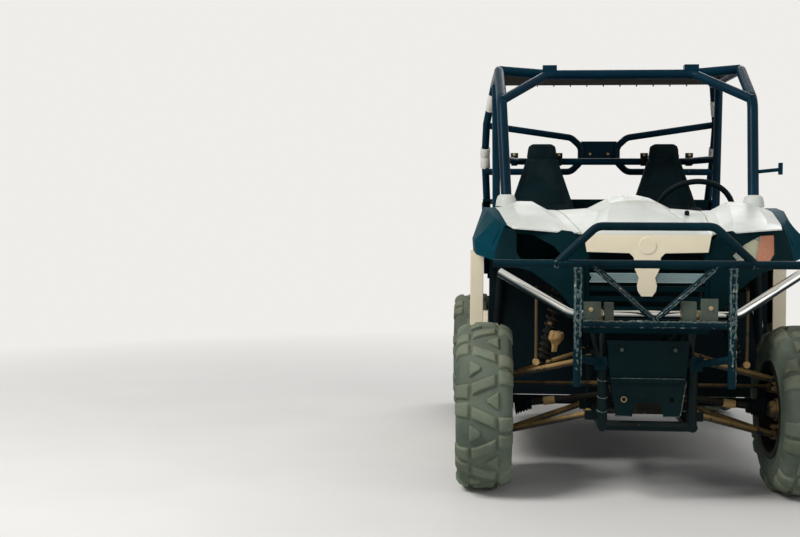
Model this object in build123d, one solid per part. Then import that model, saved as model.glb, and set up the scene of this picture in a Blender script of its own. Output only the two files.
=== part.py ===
from build123d import *
import os
from math import cos, radians, sin, sqrt

# Two-seat dune buggy: tube chassis, roll cage, plastic body, four driven wheels, steered front wheels.
# Millimetres. +Z is up, the nose faces -Y, the driver's left is +X.
# The origin lies on the ground, in the middle of the length and of the width.
# Lengths along the vehicle are given from the front axle, the firewall, the cabin's rear or the rear axle.

os.makedirs("parts", exist_ok=True)

# Driving lengths
FRONT_OVERHANG = 430.0
FIREWALL_SETBACK = 410.0
CABIN_LENGTH = 1200.0
ENGINE_BAY = 440.0
REAR_OVERHANG = 400.0
WHEELBASE = FIREWALL_SETBACK + CABIN_LENGTH + ENGINE_BAY
LENGTH = FRONT_OVERHANG + WHEELBASE + REAR_OVERHANG
NOSE_END_Y = -LENGTH / 2
TAIL_END_Y = LENGTH / 2
FRONT_AXLE_Y = NOSE_END_Y + FRONT_OVERHANG
REAR_AXLE_Y = FRONT_AXLE_Y + WHEELBASE
FIREWALL_Y = FRONT_AXLE_Y + FIREWALL_SETBACK
CABIN_REAR_Y = FIREWALL_Y + CABIN_LENGTH

# Fits
SEAT_GAP = 0.3
SPINDLE_CLEARANCE = 0.08
BEAD_GAP = 0.2

# Wheels: centre from the middle plane, tyre width
TYRE_RADIUS = 330.0
AXLE_Z = TYRE_RADIUS
FRONT_WHEEL_X = 605.5
FRONT_TYRE_WIDTH = 225.0
REAR_WHEEL_X = 655.0
REAR_TYRE_WIDTH = 270.0
BEAD_RADIUS = 178.0
BEAD_INSET = 17.0
TYRE_WALL = 15.0
LUG_CELLS = 16
LUG_HEIGHT = 12.0
LUG_ROOT = 4.0
BAR_REACH = 40.0
BAR_LEAN = 17.0
BAR_HALF = 17.0
SHOULDER_HALF = 25.0
SHOULDER_SHIFT = 5.0
BEAD_TOE = 6.0
RIM_WALL = 6.0
RIM_LIP = 12.0
LIP_GAP = 4.4
LIP_THICK = 5.0
RIM_HOLE_RADIUS = 17.0
RIM_HOLE_CIRCLE = 136.0
RIM_HOLE_COUNT = 8
FRONT_DISC_X = 45.0
REAR_DISC_X = 30.0
HUB_RADIUS = 36.0
HUB_FACE_RADIUS = 60.0
SPINDLE_RADIUS = 20.0

# Steering
KINGPIN_X = 526.0
STEER_ARM = 85.0
TIE_ROD_Z = 410.0
TIE_ROD_RADIUS = 8.0
TIE_ROD_EYE = 14.0
RACK_RADIUS = 12.0
RACK_HALF = 230.0
RACK_HOUSING_RADIUS = 27.0
RACK_HOUSING_HALF = 150.0
PINION_X = 95.0
STEER_WHEEL_CENTRE = (365.0, FIREWALL_Y + 496.0, 1110.0)
STEER_WHEEL_RADIUS = 175.0
STEER_RIM_RADIUS = 13.0
COLUMN_TILT = 35.0
COLUMN_LENGTH = 470.0
COLUMN_RADIUS = 15.0
SLEEVE_START = 360.0
SLEEVE_END = 430.0

# Suspension, the same module front and rear
PIVOT_X = 205.0
PIVOT_SPREAD = 130.0
PIVOT_RADIUS = 18.0
PIVOT_HALF = 25.0
EAR_THICK = 6.0
LOWER_PIVOT_Z = 322.0
FRONT_UPPER_PIVOT_Z = 533.0
REAR_UPPER_PIVOT_Z = 505.0
LOWER_JOINT_Z = 231.0
UPPER_JOINT_Z = 447.0
REAR_JOINT_X = 540.0
JOINT_HALF = 15.0
JOINT_RADIUS = 18.0
STUD_RADIUS = 8.0
STUD_LENGTH = 12.0
ARM_RADIUS = 12.5
LEG_TOE = 5.0
KNUCKLE_BALL = 36.0
EAR_PLATE = 14.0
DIFF_Z = 385.0
DIFF_HALF = 62.0
SHAFT_RADIUS = 13.0
FRONT_BOOT_X = 486.0
REAR_BOOT_X = 539.0

# Shocks: eye pins on the upper arms and on the frame
SHOCK_PIN = 9.0
SHOCK_EYE = 17.0
SHOCK_EYE_HALF = 15.0
SHOCK_RADIUS = 30.0
SPRING_WIRE = 6.0
SPRING_TURNS = 7
SHOCK_FOOT_X = 378.0
FRONT_SHOCK_TOP = (302.0, 848.0)
REAR_SHOCK_TOP = (340.0, 730.0)

# Chassis tubes
FRAME_RADIUS = 19.0
LEG_RADIUS = 15.0
RAIL_X = 165.0
RAIL_Z = 298.0
SILL_X = 575.0
SILL_Z = RAIL_Z - 8.0
FRONT_BOX_FRONT = 262.0
FRONT_BOX_REAR = 270.0
REAR_BOX_HALF = 180.0
TOWER_Z = 885.0
TOWER_HALF = 318.0
TOWER_LEG_X = 240.0
TOWER_LEG_REACH = 150.0
BED_RAIL_Z = 770.0
BED_RAIL_X = 340.0
BED_SIDE_X = 556.0
TUB_HALF = 590.0
TUB_FLOOR = 6.0
TUB_FLOOR_Z = RAIL_Z + FRAME_RADIUS + SEAT_GAP
SEAT_BOX_Z = 640.0
FIREWALL_TOP = 1000.0
FIREWALL_THICK = 5.0
DASH_BAR_Y = FIREWALL_Y - 40.0
DASH_BAR_Z = 1020.0

# Roll cage
CAGE_RADIUS = 23.0
STAY_RADIUS = 20.0
LOOP_RADIUS = 18.0
LOOP_BEND = 55.0
CAGE_FOOT_Z = 1080.0
B_PILLAR_Y = CABIN_REAR_Y - 230.0
STAY_Y = CABIN_REAR_Y + 190.0
POST_FOOT = (515.0, FIREWALL_Y - 49, CAGE_FOOT_Z)
POST_BEND = (541.0, FIREWALL_Y + 117, 1592.0)
ROOF_CORNER = (550.0, FIREWALL_Y + 415, 1768.0)
ROOF_END = (568.0, CABIN_REAR_Y - 50, 1792.0)
HARNESS_Z = 1392.0
ROOF_SHEET = 6.0

# Body
SKIN = 5.0
BODY_HALF = 672.0
SEAM = 4.0
WING_WIDTH = 56.0
HOOD_FRONT = -200.0
HOOD_BACK = 400.0
FACET_Y = 200.0
FLANGE = 22.0
FLANGE_THICK = 3.0
CAP_X = 520.0
CAP_Y = FIREWALL_Y - 22.0
NOSE_THICK = 6.0
GRILLE_HALF = 233.0
GRILLE_LOW = 640.0
GRILLE_HIGH = 1000.0
GRILLE_DEPTH = 30.0
LAMP_WALL = 4.0
LAMP_BACK = -20.0
BED_WALL = 18.0
BED_FLOOR = 20.0
BED_TOP = 1192.0
BED_HALF = 570.0
BED_LIP_LOW = 1000.0
BED_LIP = 6.0

# Seats
SEAT_X = 317.0
CUSHION_HALF = 205.0
CUSHION_HIGH = 117.0

# Front guards
GUARD_RADIUS = 15.0
UPRIGHT_RADIUS = 16.0
UPRIGHT_X = 273.0
UPRIGHT_LOW = 466.0
GUARD_Y = NOSE_END_Y + UPRIGHT_RADIUS
LONG_TUBE_Z = 907.0
LOWER_BAR_Z = 690.0
LOWER_BAR_RADIUS = 14.0
CHROME_RADIUS = 18.0
CHROME_Z = 722.0
CHROME_Y = GUARD_Y + UPRIGHT_RADIUS + CHROME_RADIUS + SEAT_GAP
SKID_THICK = 4.0
GUARD_FOOT = 6.0

# Tail
REAR_GUARD_RADIUS = 19.0
TOW_HOLE_RADIUS = 9.7
TOW_PLATE_THICK = 12.0
TOW_Z = 380.0
MUFFLER_RADIUS = 75.0
MUFFLER_Z = 620.0
MUFFLER_Y = REAR_AXLE_Y + 265.0

SIDES = (("left", 1), ("right", -1))

# Hood half sections. Columns: y from the front axle, crest z at CREST_X, crease x and z,
# valley x and z, edge x and z.
HOOD_SECTIONS = (
    (HOOD_FRONT, 1014, 150, 1014, 205, 1013, 240, 1012),
    (-150, 1058, 150, 1052, 205, 1032, 246, 1026),
    (FACET_Y, 1148, 98, 1136, 144, 1104, 282, 1092),
    (HOOD_BACK, 1178, 88, 1165, 174, 1121, 300, 1112),
)
CREST_X = 34.0

# Front fender tops. Columns: y from the front axle, foot x and z, ridge x and z, shoulder x and z,
# outer x and z. The inner edge follows the hood's edge.
FENDER_SECTIONS = (
    (-170, 282, 1020, 322, 1022, 440, 1032, 500, 1036),
    (-60, 297, 1047, 345, 1066, 470, 1070, 524, 1052),
    (FACET_Y, 324, 1095, 384, 1126, 490, 1126, 552, 1105),
    (HOOD_BACK, 344, 1114, 410, 1150, 486, 1151, 566, 1124),
)

# Fender flares. Columns: y from the front axle, top x and z, crest x and z, lip x and z.
# The inner edge follows the fender's outer edge.
FLARE_SECTIONS = (
    (-60, 534, 1040, 570, 940, 562, 903),
    (30, 566, 1072, 650, 985, 642, 928),
    (FACET_Y, 599, 1108, 659, 998, 654, 937),
    (HOOD_BACK, 618, 1124, 664, 990, 660, 940),
)

# Nose surround. Columns: x, y from the front axle, bottom z, top z (None: under the fender's edge).
FASCIA_SECTIONS = (
    (GRILLE_HALF + SEAT_GAP, -214, 735, 985),
    (257, -211, 735, 1006),
    (280, -206, 735, 1023),
    (318, -198, 785, 1028),
    (332, -194, 800, None),
    (428, -158, 868, None),
    (498, -128, 888, None),
    (530, -104, 899, 1036),
    (551, -92, 902, 992),
    (568, -87, 904, 944),
)
FASCIA_LEAN = 18.0

# Slots through the flares' main facet. Columns: y from the front axle, inner x, outer x.
FLARE_SLOTS = (
    (45, 585, 612),
    (-40, 551, 577),
)
SLOT_HALF = 3.0


def box(x0, x1, y0, y1, z0, z1):
    """Block between two corners; x0 and x1 come in any order."""
    size = (abs(x1 - x0), y1 - y0, z1 - z0)
    return Pos((x0 + x1) / 2, (y0 + y1) / 2, (z0 + z1) / 2) * Box(*size)


def tube(points, radius, bend):
    """Round bar along straight runs joined by arcs of the bend's radius."""
    start = Vector(*points[0])
    along = Vector(*points[1]) - start
    section = Plane(origin=start, z_dir=along) * Circle(radius)
    return sweep(section, path=FilletPolyline(*points, radius=bend))


def mitred_tube(points, radius):
    """Round bar along straight runs with mitred corners."""
    start = Vector(*points[0])
    along = Vector(*points[1]) - start
    section = Plane(origin=start, z_dir=along) * Circle(radius)
    return sweep(section, path=Polyline(*points), transition=Transition.RIGHT)


def rod(start, end, radius):
    """Straight round bar between two points."""
    along = Vector(*end) - Vector(*start)
    plane = Plane(origin=start, z_dir=along)
    return plane * Cylinder(radius, along.length, align=(Align.CENTER, Align.CENTER, Align.MIN))


def cone(start, end, radius_start, radius_end):
    """Straight tapered bar between two points."""
    along = Vector(*end) - Vector(*start)
    plane = Plane(origin=start, z_dir=along)
    return plane * Cone(
        radius_start, radius_end, along.length, align=(Align.CENTER, Align.CENTER, Align.MIN)
    )


def plate_xz(points, y0, y1):
    """Outline in the XZ plane, thickened from y0 to y1."""
    face = Plane(origin=(0, y0, 0), x_dir=(1, 0, 0), z_dir=(0, -1, 0)) * make_face(
        Polyline(*points, close=True)
    )
    return extrude(face, amount=-(y1 - y0))


def plate_yz(points, x0, x1):
    """Outline in the YZ plane, thickened from x0 to x1."""
    face = Plane(origin=(x0, 0, 0), x_dir=(0, 1, 0), z_dir=(1, 0, 0)) * make_face(
        Polyline(*points, close=True)
    )
    return extrude(face, amount=x1 - x0)


def plate_xy(points, z0, z1):
    """Outline in the XY plane, thickened from z0 to z1."""
    face = Pos(0, 0, z0) * make_face(Polyline(*points, close=True))
    return extrude(face, amount=z1 - z0)


def face_at_y(y, points):
    """Face in the plane across the vehicle at y; points are (x, z)."""
    plane = Plane(origin=(0, y, 0), x_dir=(1, 0, 0), z_dir=(0, -1, 0))
    return plane * make_face(Polyline(*points, close=True))


def face_at_x(x, points):
    """Face in the plane along the vehicle at x; points are (y, z)."""
    plane = Plane(origin=(x, 0, 0), x_dir=(0, 1, 0), z_dir=(1, 0, 0))
    return plane * make_face(Polyline(*points, close=True))


def skin_along_y(sections, wall):
    """Skin lofted along Y; each section is (y, [(x, z) of the outer line])."""
    faces = []
    for y, line in sections:
        lower = [(x, z - wall) for x, z in reversed(line)]
        faces.append(face_at_y(y, [*line, *lower]))
    return loft(faces, ruled=True)


def between(table, key, column):
    """Value of a column at a key, in straight runs between a table's rows."""
    rows = [(row[0], row[column]) for row in table]
    for (key_low, low), (key_high, high) in zip(rows, rows[1:]):
        if key <= key_high:
            break
    return low + (high - low) * (key - key_low) / (key_high - key_low)


def on_line(start, end, x):
    """Point of a straight line at x."""
    share = (x - start[0]) / (end[0] - start[0])
    return tuple(a + (b - a) * share for a, b in zip(start, end))


def mirrored(shape):
    """The same shape on the other side of the middle plane."""
    return mirror(shape, about=Plane.YZ)


def on_side(shape, sign):
    """Shape drawn on the +X side, put on the side that sign names."""
    return shape if sign > 0 else mirrored(shape)


def both_sides(shape):
    """One node holding a shape and its mirror image."""
    return Compound(children=[*solids_of(shape), *solids_of(mirrored(shape))])


def solids_of(shape):
    """The solids of a shape as a plain list."""
    return list(shape.solids())


def largest(shape):
    """The largest solid of a cut shape."""
    return max(solids_of(shape), key=lambda solid: solid.volume)


def save(name, shape):
    """Write one node."""
    bodies = solids_of(shape)
    part = bodies[0] if len(bodies) == 1 else Compound(children=bodies)
    export_step(part, f"parts/{name}.step")
    return part


# Wheels


def many_sided(points):
    """Closed body with a flat side for each cell of the tread, about the X axis; points are (x, radius)."""
    faces = []
    for x, radius in points:
        plane = Plane(origin=(x, 0, 0), x_dir=(0, 0, 1), z_dir=(1, 0, 0))
        faces.append(plane * RegularPolygon(radius, LUG_CELLS, major_radius=False, rotation=180 / LUG_CELLS))
    return loft(faces, ruled=True)


def tread_blocks(width):
    """Slanted bars along the middle and paired blocks over both shoulders."""
    half = width / 2
    root = TYRE_RADIUS - LUG_HEIGHT - LUG_ROOT
    bars = []
    for lean in (BAR_LEAN, -BAR_LEAN):
        outline = [
            (-BAR_REACH, -lean - BAR_HALF),
            (BAR_REACH, lean - BAR_HALF),
            (BAR_REACH, lean + BAR_HALF),
            (-BAR_REACH, -lean + BAR_HALF),
        ]
        bars.append(plate_xy(outline, root, TYRE_RADIUS))
    outline = [
        (half - 50, TYRE_RADIUS - 1),
        (half - 10, TYRE_RADIUS - 19),
        (half - 3, TYRE_RADIUS - 60),
        (half - 46, root - 18),
    ]
    shoulder = plate_xz(outline, -SHOULDER_HALF, SHOULDER_HALF)
    blocks = []
    for cell in range(LUG_CELLS):
        turn = 360 * cell / LUG_CELLS
        shift = SHOULDER_SHIFT if cell % 2 else -SHOULDER_SHIFT
        blocks.append(Rot(turn, 0, 0) * bars[cell % 2])
        blocks.append(Rot(turn + shift, 0, 0) * shoulder)
        blocks.append(Rot(turn - shift, 0, 0) * mirrored(shoulder))
    return blocks


def tyre(width):
    """Hollow tyre with its tread blocks about the X axis, centred on the origin."""
    half = width / 2
    r = TYRE_RADIUS - LUG_HEIGHT
    outer = [
        (half - BEAD_INSET, BEAD_RADIUS + BEAD_TOE),
        (half - 3, BEAD_RADIUS + 67),
        (half - 52, r),
    ]
    inner = [
        (half - BEAD_INSET - TYRE_WALL, BEAD_RADIUS - BEAD_TOE),
        (half - TYRE_WALL - 3, BEAD_RADIUS + 62),
        (half - TYRE_WALL - 49, r - TYRE_WALL),
    ]
    body = many_sided([(-x, radius) for x, radius in outer] + outer[::-1])
    body -= many_sided([(-x, radius) for x, radius in inner] + inner[::-1])
    body -= Rot(0, 90, 0) * Cylinder(BEAD_RADIUS, width)
    return body + tread_blocks(width)


def rim(width, disc_x):
    """Rim with a pierced disc, a hub and a brake disc, about the X axis."""
    half = width / 2 - BEAD_INSET
    lip_x = half + LIP_GAP
    seat = BEAD_RADIUS - BEAD_GAP
    barrel = seat - RIM_WALL
    inside = barrel - RIM_WALL
    lip = BEAD_RADIUS + RIM_LIP
    bore = SPINDLE_RADIUS + SPINDLE_CLEARANCE
    brake = 108.0
    line = [
        (-lip_x - LIP_THICK, inside),
        (-lip_x - LIP_THICK, lip),
        (-lip_x, lip),
        (-lip_x, seat),
        (-half + TYRE_WALL + 4, seat),
        (-half + TYRE_WALL + 10, barrel),
        (half - TYRE_WALL - 10, barrel),
        (half - TYRE_WALL - 4, seat),
        (lip_x, seat),
        (lip_x, lip),
        (lip_x + LIP_THICK, lip),
        (lip_x + LIP_THICK, inside),
        (disc_x + 8, inside),
        (disc_x - 14, brake + 2),
        (disc_x, HUB_FACE_RADIUS),
        (disc_x, bore),
        (disc_x - 34, bore),
        (disc_x - 34, brake),
        (disc_x - 28, brake),
        (disc_x - 28, HUB_RADIUS),
        (disc_x - 9, HUB_RADIUS),
        (disc_x - 9, HUB_FACE_RADIUS),
        (disc_x - 22, brake),
        (disc_x, inside),
    ]
    face = Plane.XZ * make_face(Polyline(*line, close=True))
    body = revolve(face, axis=Axis.X, revolution_arc=360)
    hole = Rot(0, 90, 0) * Cylinder(RIM_HOLE_RADIUS, 60)
    for index in range(RIM_HOLE_COUNT):
        angle = 360 * index / RIM_HOLE_COUNT
        body -= Pos(disc_x - 8, 0, 0) * Rot(angle, 0, 0) * Pos(0, 0, RIM_HOLE_CIRCLE) * hole
    return body


def wheel(x, y, width, disc_x, sign):
    """Tyre and rim at their place on one side."""
    place = Pos(x, y, AXLE_Z)
    return on_side(place * tyre(width), sign), on_side(place * rim(width, disc_x), sign)


# Steering and axles


def joint_ears(x, y, web_x, half):
    """Two rounded ears for the ball studs, joined by an upright web."""
    low = LOWER_JOINT_Z + JOINT_HALF + STUD_LENGTH + SEAT_GAP
    high = UPPER_JOINT_Z - JOINT_HALF - STUD_LENGTH - SEAT_GAP
    body = box(web_x, web_x + 26, y - half - 8, y + half + 8, low, high)
    for z0 in (low, high - EAR_PLATE):
        body += box(x, web_x + 26, y - half, y + half, z0, z0 + EAR_PLATE)
        body += rod((x, y, z0), (x, y, z0 + EAR_PLATE), half)
    return body


def knuckle():
    """Left knuckle: ball of the drive joint, upright, spindle and steering arm."""
    y = FRONT_AXLE_Y
    body = Pos(KINGPIN_X, y, AXLE_Z) * Sphere(KNUCKLE_BALL)
    body += rod((KINGPIN_X, y, AXLE_Z), (608, y, AXLE_Z), 44)
    body += rod((600, y, AXLE_Z), (652, y, AXLE_Z), SPINDLE_RADIUS)
    body += joint_ears(KINGPIN_X, y, 548, 16)
    arm_top = TIE_ROD_Z - TIE_ROD_RADIUS - SEAT_GAP
    arm = [
        (552, y),
        (574, y),
        (574, y + 30),
        (KINGPIN_X + TIE_ROD_EYE, y + STEER_ARM + 12),
        (KINGPIN_X - TIE_ROD_EYE, y + STEER_ARM + 12),
        (KINGPIN_X - TIE_ROD_EYE, y + STEER_ARM - 14),
    ]
    body += plate_xy(arm, arm_top - 12, arm_top)
    return body


def hub_carrier():
    """Left rear hub carrier with its spindle."""
    y = REAR_AXLE_Y
    body = rod((545, y, AXLE_Z), (640, y, AXLE_Z), 46)
    body += rod((630, y, AXLE_Z), (687, y, AXLE_Z), SPINDLE_RADIUS)
    body += joint_ears(REAR_JOINT_X, y, 560, 17)
    return body


def tie_rods():
    """Rack bar and both tie rods, one sliding piece."""
    y = FRONT_AXLE_Y + STEER_ARM
    body = rod((-RACK_HALF, y, TIE_ROD_Z), (RACK_HALF, y, TIE_ROD_Z), RACK_RADIUS)
    body += rod((-KINGPIN_X, y, TIE_ROD_Z), (KINGPIN_X, y, TIE_ROD_Z), TIE_ROD_RADIUS)
    for x in (KINGPIN_X, -KINGPIN_X):
        low = TIE_ROD_Z - TIE_ROD_RADIUS
        body += rod((x, y, low), (x, y, low + 20), TIE_ROD_EYE)
    return body


def rack_housing():
    """Fixed housing of the rack with its pinion tower and two feet on the lower rails."""
    y = FRONT_AXLE_Y + STEER_ARM
    half = RACK_HOUSING_HALF
    rail_top = RAIL_Z + FRAME_RADIUS + SEAT_GAP
    body = rod((-half, y, TIE_ROD_Z), (half, y, TIE_ROD_Z), RACK_HOUSING_RADIUS)
    body += rod((PINION_X, y, TIE_ROD_Z), (PINION_X, y + 45, TIE_ROD_Z + 50), 20)
    for sign in (1, -1):
        body += box(sign * (half - 24), sign * half, y - 12, y + 12, rail_top, TIE_ROD_Z)
        body += box(sign * (half - 24), sign * (RAIL_X + 10), y - 12, y + 12, rail_top, rail_top + 10)
    body -= rod((-half - 5, y, TIE_ROD_Z), (half + 5, y, TIE_ROD_Z), RACK_RADIUS + SPINDLE_CLEARANCE)
    return body


def steering_wheel():
    """Steering wheel with three spokes on its column."""
    tilt = Plane(
        origin=STEER_WHEEL_CENTRE,
        x_dir=(1, 0, 0),
        z_dir=(0, cos(radians(COLUMN_TILT)), sin(radians(COLUMN_TILT))),
    )
    reach = STEER_WHEEL_RADIUS - 30
    body = Torus(STEER_WHEEL_RADIUS, STEER_RIM_RADIUS)
    body += Pos(0, 0, -22) * Cylinder(42, 26)
    for angle in (0, 90, 180):
        spoke = Pos(STEER_WHEEL_RADIUS / 2 + 10, 0, -8) * Rot(0, -6, 0) * Box(reach, 30, 7)
        body += Rot(0, 0, angle) * spoke
    body += Pos(0, 0, -COLUMN_LENGTH / 2 - 20) * Cylinder(COLUMN_RADIUS, COLUMN_LENGTH)
    return tilt * body


def column_point(distance):
    """Point on the column's axis, down from the wheel's centre."""
    x, y, z = STEER_WHEEL_CENTRE
    return (
        x,
        y - distance * cos(radians(COLUMN_TILT)),
        z - distance * sin(radians(COLUMN_TILT)),
    )


def lower_shaft(radius):
    """Lower steering shaft, from under the column to the rack's pinion."""
    rack_y = FRONT_AXLE_Y + STEER_ARM
    points = [
        column_point(COLUMN_LENGTH + 34),
        (120, FIREWALL_Y - 50, 480),
        (PINION_X, rack_y + 45, TIE_ROD_Z + 50),
    ]
    return mitred_tube(points, radius)


def column_strut(radius):
    """Strut from the dash bar to the column's sleeve."""
    return rod((STEER_WHEEL_CENTRE[0], DASH_BAR_Y, DASH_BAR_Z), column_point(395), radius)


def dash_bar(radius):
    """Cross tube under the windscreen posts' feet."""
    return rod((-520, DASH_BAR_Y, DASH_BAR_Z), (520, DASH_BAR_Y, DASH_BAR_Z), radius)


def steering_gear():
    """Rack housing, the fixed lower shaft and the column sleeve hung from the dash bar."""
    sleeve = rod(column_point(SLEEVE_START), column_point(SLEEVE_END), COLUMN_RADIUS + 8)
    body = sleeve + column_strut(11) - dash_bar(FRAME_RADIUS + SEAT_GAP)
    bore = COLUMN_RADIUS + SPINDLE_CLEARANCE
    body -= rod(column_point(SLEEVE_START - 60), column_point(SLEEVE_END + 70), bore)
    gear = rack_housing() + lower_shaft(10)
    return Compound(children=[largest(body), *solids_of(gear)])


def arm_leg(axle_y, inner_z, outer_x, outer_z, sign):
    """Ends of one leg's axis, from the inner sleeve to the ball joint."""
    start = (PIVOT_X + 6, axle_y + sign * PIVOT_SPREAD, inner_z)
    end = (outer_x - 6, axle_y + sign * LEG_TOE, outer_z)
    return start, end


def suspension_arms(axle_y, upper_z, outer_x):
    """Upper and lower A-arms of the left side, with sleeves, ball studs and shock pin."""
    solids = []
    for inner_z, outer_z, radius, stud in (
        (upper_z, UPPER_JOINT_Z, ARM_RADIUS - 0.5, -1),
        (LOWER_PIVOT_Z, LOWER_JOINT_Z, ARM_RADIUS, 1),
    ):
        face_z = outer_z + stud * JOINT_HALF
        arm = rod((outer_x, axle_y, outer_z - JOINT_HALF), (outer_x, axle_y, outer_z + JOINT_HALF), JOINT_RADIUS)
        arm += rod((outer_x, axle_y, face_z), (outer_x, axle_y, face_z + stud * STUD_LENGTH), STUD_RADIUS)
        for sign in (1, -1):
            start, end = arm_leg(axle_y, inner_z, outer_x, outer_z, sign)
            pivot_y = axle_y + sign * PIVOT_SPREAD
            arm += rod(
                (PIVOT_X, pivot_y - PIVOT_HALF, inner_z), (PIVOT_X, pivot_y + PIVOT_HALF, inner_z), PIVOT_RADIUS
            )
            arm += rod(start, end, radius)
        if inner_z == upper_z:
            near = on_line(*arm_leg(axle_y, inner_z, outer_x, outer_z, 1), SHOCK_FOOT_X)
            far = on_line(*arm_leg(axle_y, inner_z, outer_x, outer_z, -1), SHOCK_FOOT_X)
            arm += rod(near, far, SHOCK_PIN)
        solids.append(arm)
    return both_sides(Compound(children=solids))


def shock_foot(axle_y, upper_z, outer_x):
    """Centre of the shock's lower eye, on the pin across the upper arm."""
    start, end = arm_leg(axle_y, upper_z, outer_x, UPPER_JOINT_Z, 1)
    x, _, z = on_line(start, end, SHOCK_FOOT_X)
    return (x, axle_y, z)


def shock(lower, upper):
    """Coil-over shock: eyes, damper, spring seats and the spring's ringed envelope."""
    low, high = Vector(*lower), Vector(*upper)
    length = (high - low).length
    seat_low = SHOCK_EYE + 26
    seat_high = length - SHOCK_EYE - 8
    line = [(0, SHOCK_EYE - 6), (10, SHOCK_EYE - 6), (10, seat_low - 8)]
    line += [(SHOCK_RADIUS, seat_low - 8), (SHOCK_RADIUS, seat_low)]
    pitch = (seat_high - seat_low) / SPRING_TURNS
    for turn in range(SPRING_TURNS):
        z = seat_low + turn * pitch
        line += [(SHOCK_RADIUS - 2 * SPRING_WIRE, z + 1), (SHOCK_RADIUS - 3, z + pitch / 2)]
    line += [(SHOCK_RADIUS - 2 * SPRING_WIRE, seat_high - 1), (SHOCK_RADIUS, seat_high)]
    line += [(SHOCK_RADIUS, seat_high + 6), (14, seat_high + 6), (14, length - SHOCK_EYE + 8)]
    line += [(0, length - SHOCK_EYE + 8)]
    profile = Plane.XZ * make_face(Polyline(*line, close=True))
    place = Plane(origin=low, z_dir=high - low)
    body = place * revolve(profile, axis=Axis.Z, revolution_arc=360)
    for x, y, z in (lower, upper):
        body += rod((x, y - SHOCK_EYE_HALF, z), (x, y + SHOCK_EYE_HALF, z), SHOCK_EYE)
    for x, y, z in (lower, upper):
        body -= rod((x, y - 40, z), (x, y + 40, z), SHOCK_PIN + SEAT_GAP)
    return both_sides(largest(body))


def shock_bracket(x, y, z, top):
    """Two hanging ears and the pin for a shock's upper eye."""
    reach = SHOCK_EYE_HALF + 2
    body = rod((x, y - reach, z), (x, y + reach, z), SHOCK_PIN)
    for sign in (1, -1):
        y0, y1 = sorted((y + sign * reach, y + sign * (reach + EAR_THICK)))
        side = 14 if x > 0 else -14
        body += box(x - side, x + side, y0, y1, z - 14, top)
    return body


def driveline(axle_y, shaft_end):
    """Final drive case on the lower rails, with both half shafts and their rubber boots."""
    rail_top = RAIL_Z + FRAME_RADIUS + SEAT_GAP
    body = box(-95, 95, axle_y - 100, axle_y + 50, DIFF_Z - DIFF_HALF, DIFF_Z + DIFF_HALF)
    body = fillet(body.edges().filter_by(Axis.X), 24)
    for y0 in (axle_y - 85, axle_y + 10):
        body += box(-RAIL_X - 12, RAIL_X + 12, y0, y0 + 26, rail_top, rail_top + 10)
        body += box(-80, 80, y0, y0 + 26, rail_top, DIFF_Z)
    for sign in (1, -1):
        inner = (sign * 90, axle_y, DIFF_Z)
        outer = (sign * shaft_end, axle_y, AXLE_Z + 5)
        body += rod(inner, outer, SHAFT_RADIUS)
        body += cone((sign * 92, axle_y, DIFF_Z), (sign * 150, axle_y, DIFF_Z - 8), 40, 24)
        body += cone((sign * (shaft_end - 62), axle_y, AXLE_Z + 13), outer, 20, 36)
    return body


# Chassis


def subframe(axle_y, upper_z, front_y, rear_y):
    """Tube box that carries one axle: four rails, uprights, cross tubes and pivot ears."""
    ends = (front_y + FRAME_RADIUS, rear_y - FRAME_RADIUS)
    tubes = []
    for x in (RAIL_X, -RAIL_X):
        tubes += [rod((x, front_y, z), (x, rear_y, z), FRAME_RADIUS) for z in (RAIL_Z, upper_z)]
        tubes += [rod((x, y, RAIL_Z), (x, y, upper_z), FRAME_RADIUS) for y in ends]
    for y in ends:
        tubes += [rod((-RAIL_X, y, z), (RAIL_X, y, z), FRAME_RADIUS) for z in (RAIL_Z, upper_z)]
    for x_sign in (1, -1):
        for z in (LOWER_PIVOT_Z, upper_z):
            for y_sign in (1, -1):
                tubes.append(pivot_ears(x_sign, axle_y + y_sign * PIVOT_SPREAD, z))
    return tubes[0] + tubes[1:]


def pivot_ears(x_sign, pivot_y, z):
    """Two ears that hold one inner sleeve of an A-arm."""
    ears = []
    for side in (1, -1):
        face_y = pivot_y + side * PIVOT_HALF
        y0, y1 = sorted((face_y, face_y + side * EAR_THICK))
        x0, x1 = x_sign * (RAIL_X + 4), x_sign * (PIVOT_X + PIVOT_RADIUS)
        ears.append(box(x0, x1, y0, y1, z - PIVOT_RADIUS, z + PIVOT_RADIUS))
    return ears[0] + ears[1]


def tower_leg(sign, reach):
    """Ends of one leg of the shock tower."""
    foot = (sign * RAIL_X, FRONT_AXLE_Y + reach * TOWER_LEG_REACH, FRONT_UPPER_PIVOT_Z)
    return foot, (sign * TOWER_LEG_X, FRONT_AXLE_Y, TOWER_Z)


def front_tower():
    """Shock cross tube above the front axle, its four legs and the grille's two stalks."""
    y = FRONT_AXLE_Y
    body = rod((-TOWER_HALF, y, TOWER_Z), (TOWER_HALF, y, TOWER_Z), FRAME_RADIUS)
    shock_x, shock_z = FRONT_SHOCK_TOP
    box_front = y - FRONT_BOX_FRONT + FRAME_RADIUS
    for sign in (1, -1):
        for reach in (-1, 1):
            foot, top = tower_leg(sign, reach)
            body += rod(foot, top, LEG_RADIUS)
        body += shock_bracket(sign * shock_x, y, shock_z, TOWER_Z)
        stalk = rod((sign * RAIL_X, box_front, FRONT_UPPER_PIVOT_Z), (sign * RAIL_X, y - 182, GRILLE_LOW + 20), 10)
        body += stalk - box(-RAIL_X - 60, RAIL_X + 60, y - 300, y, GRILLE_LOW - SEAT_GAP, GRILLE_LOW + 60)
    return body


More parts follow.
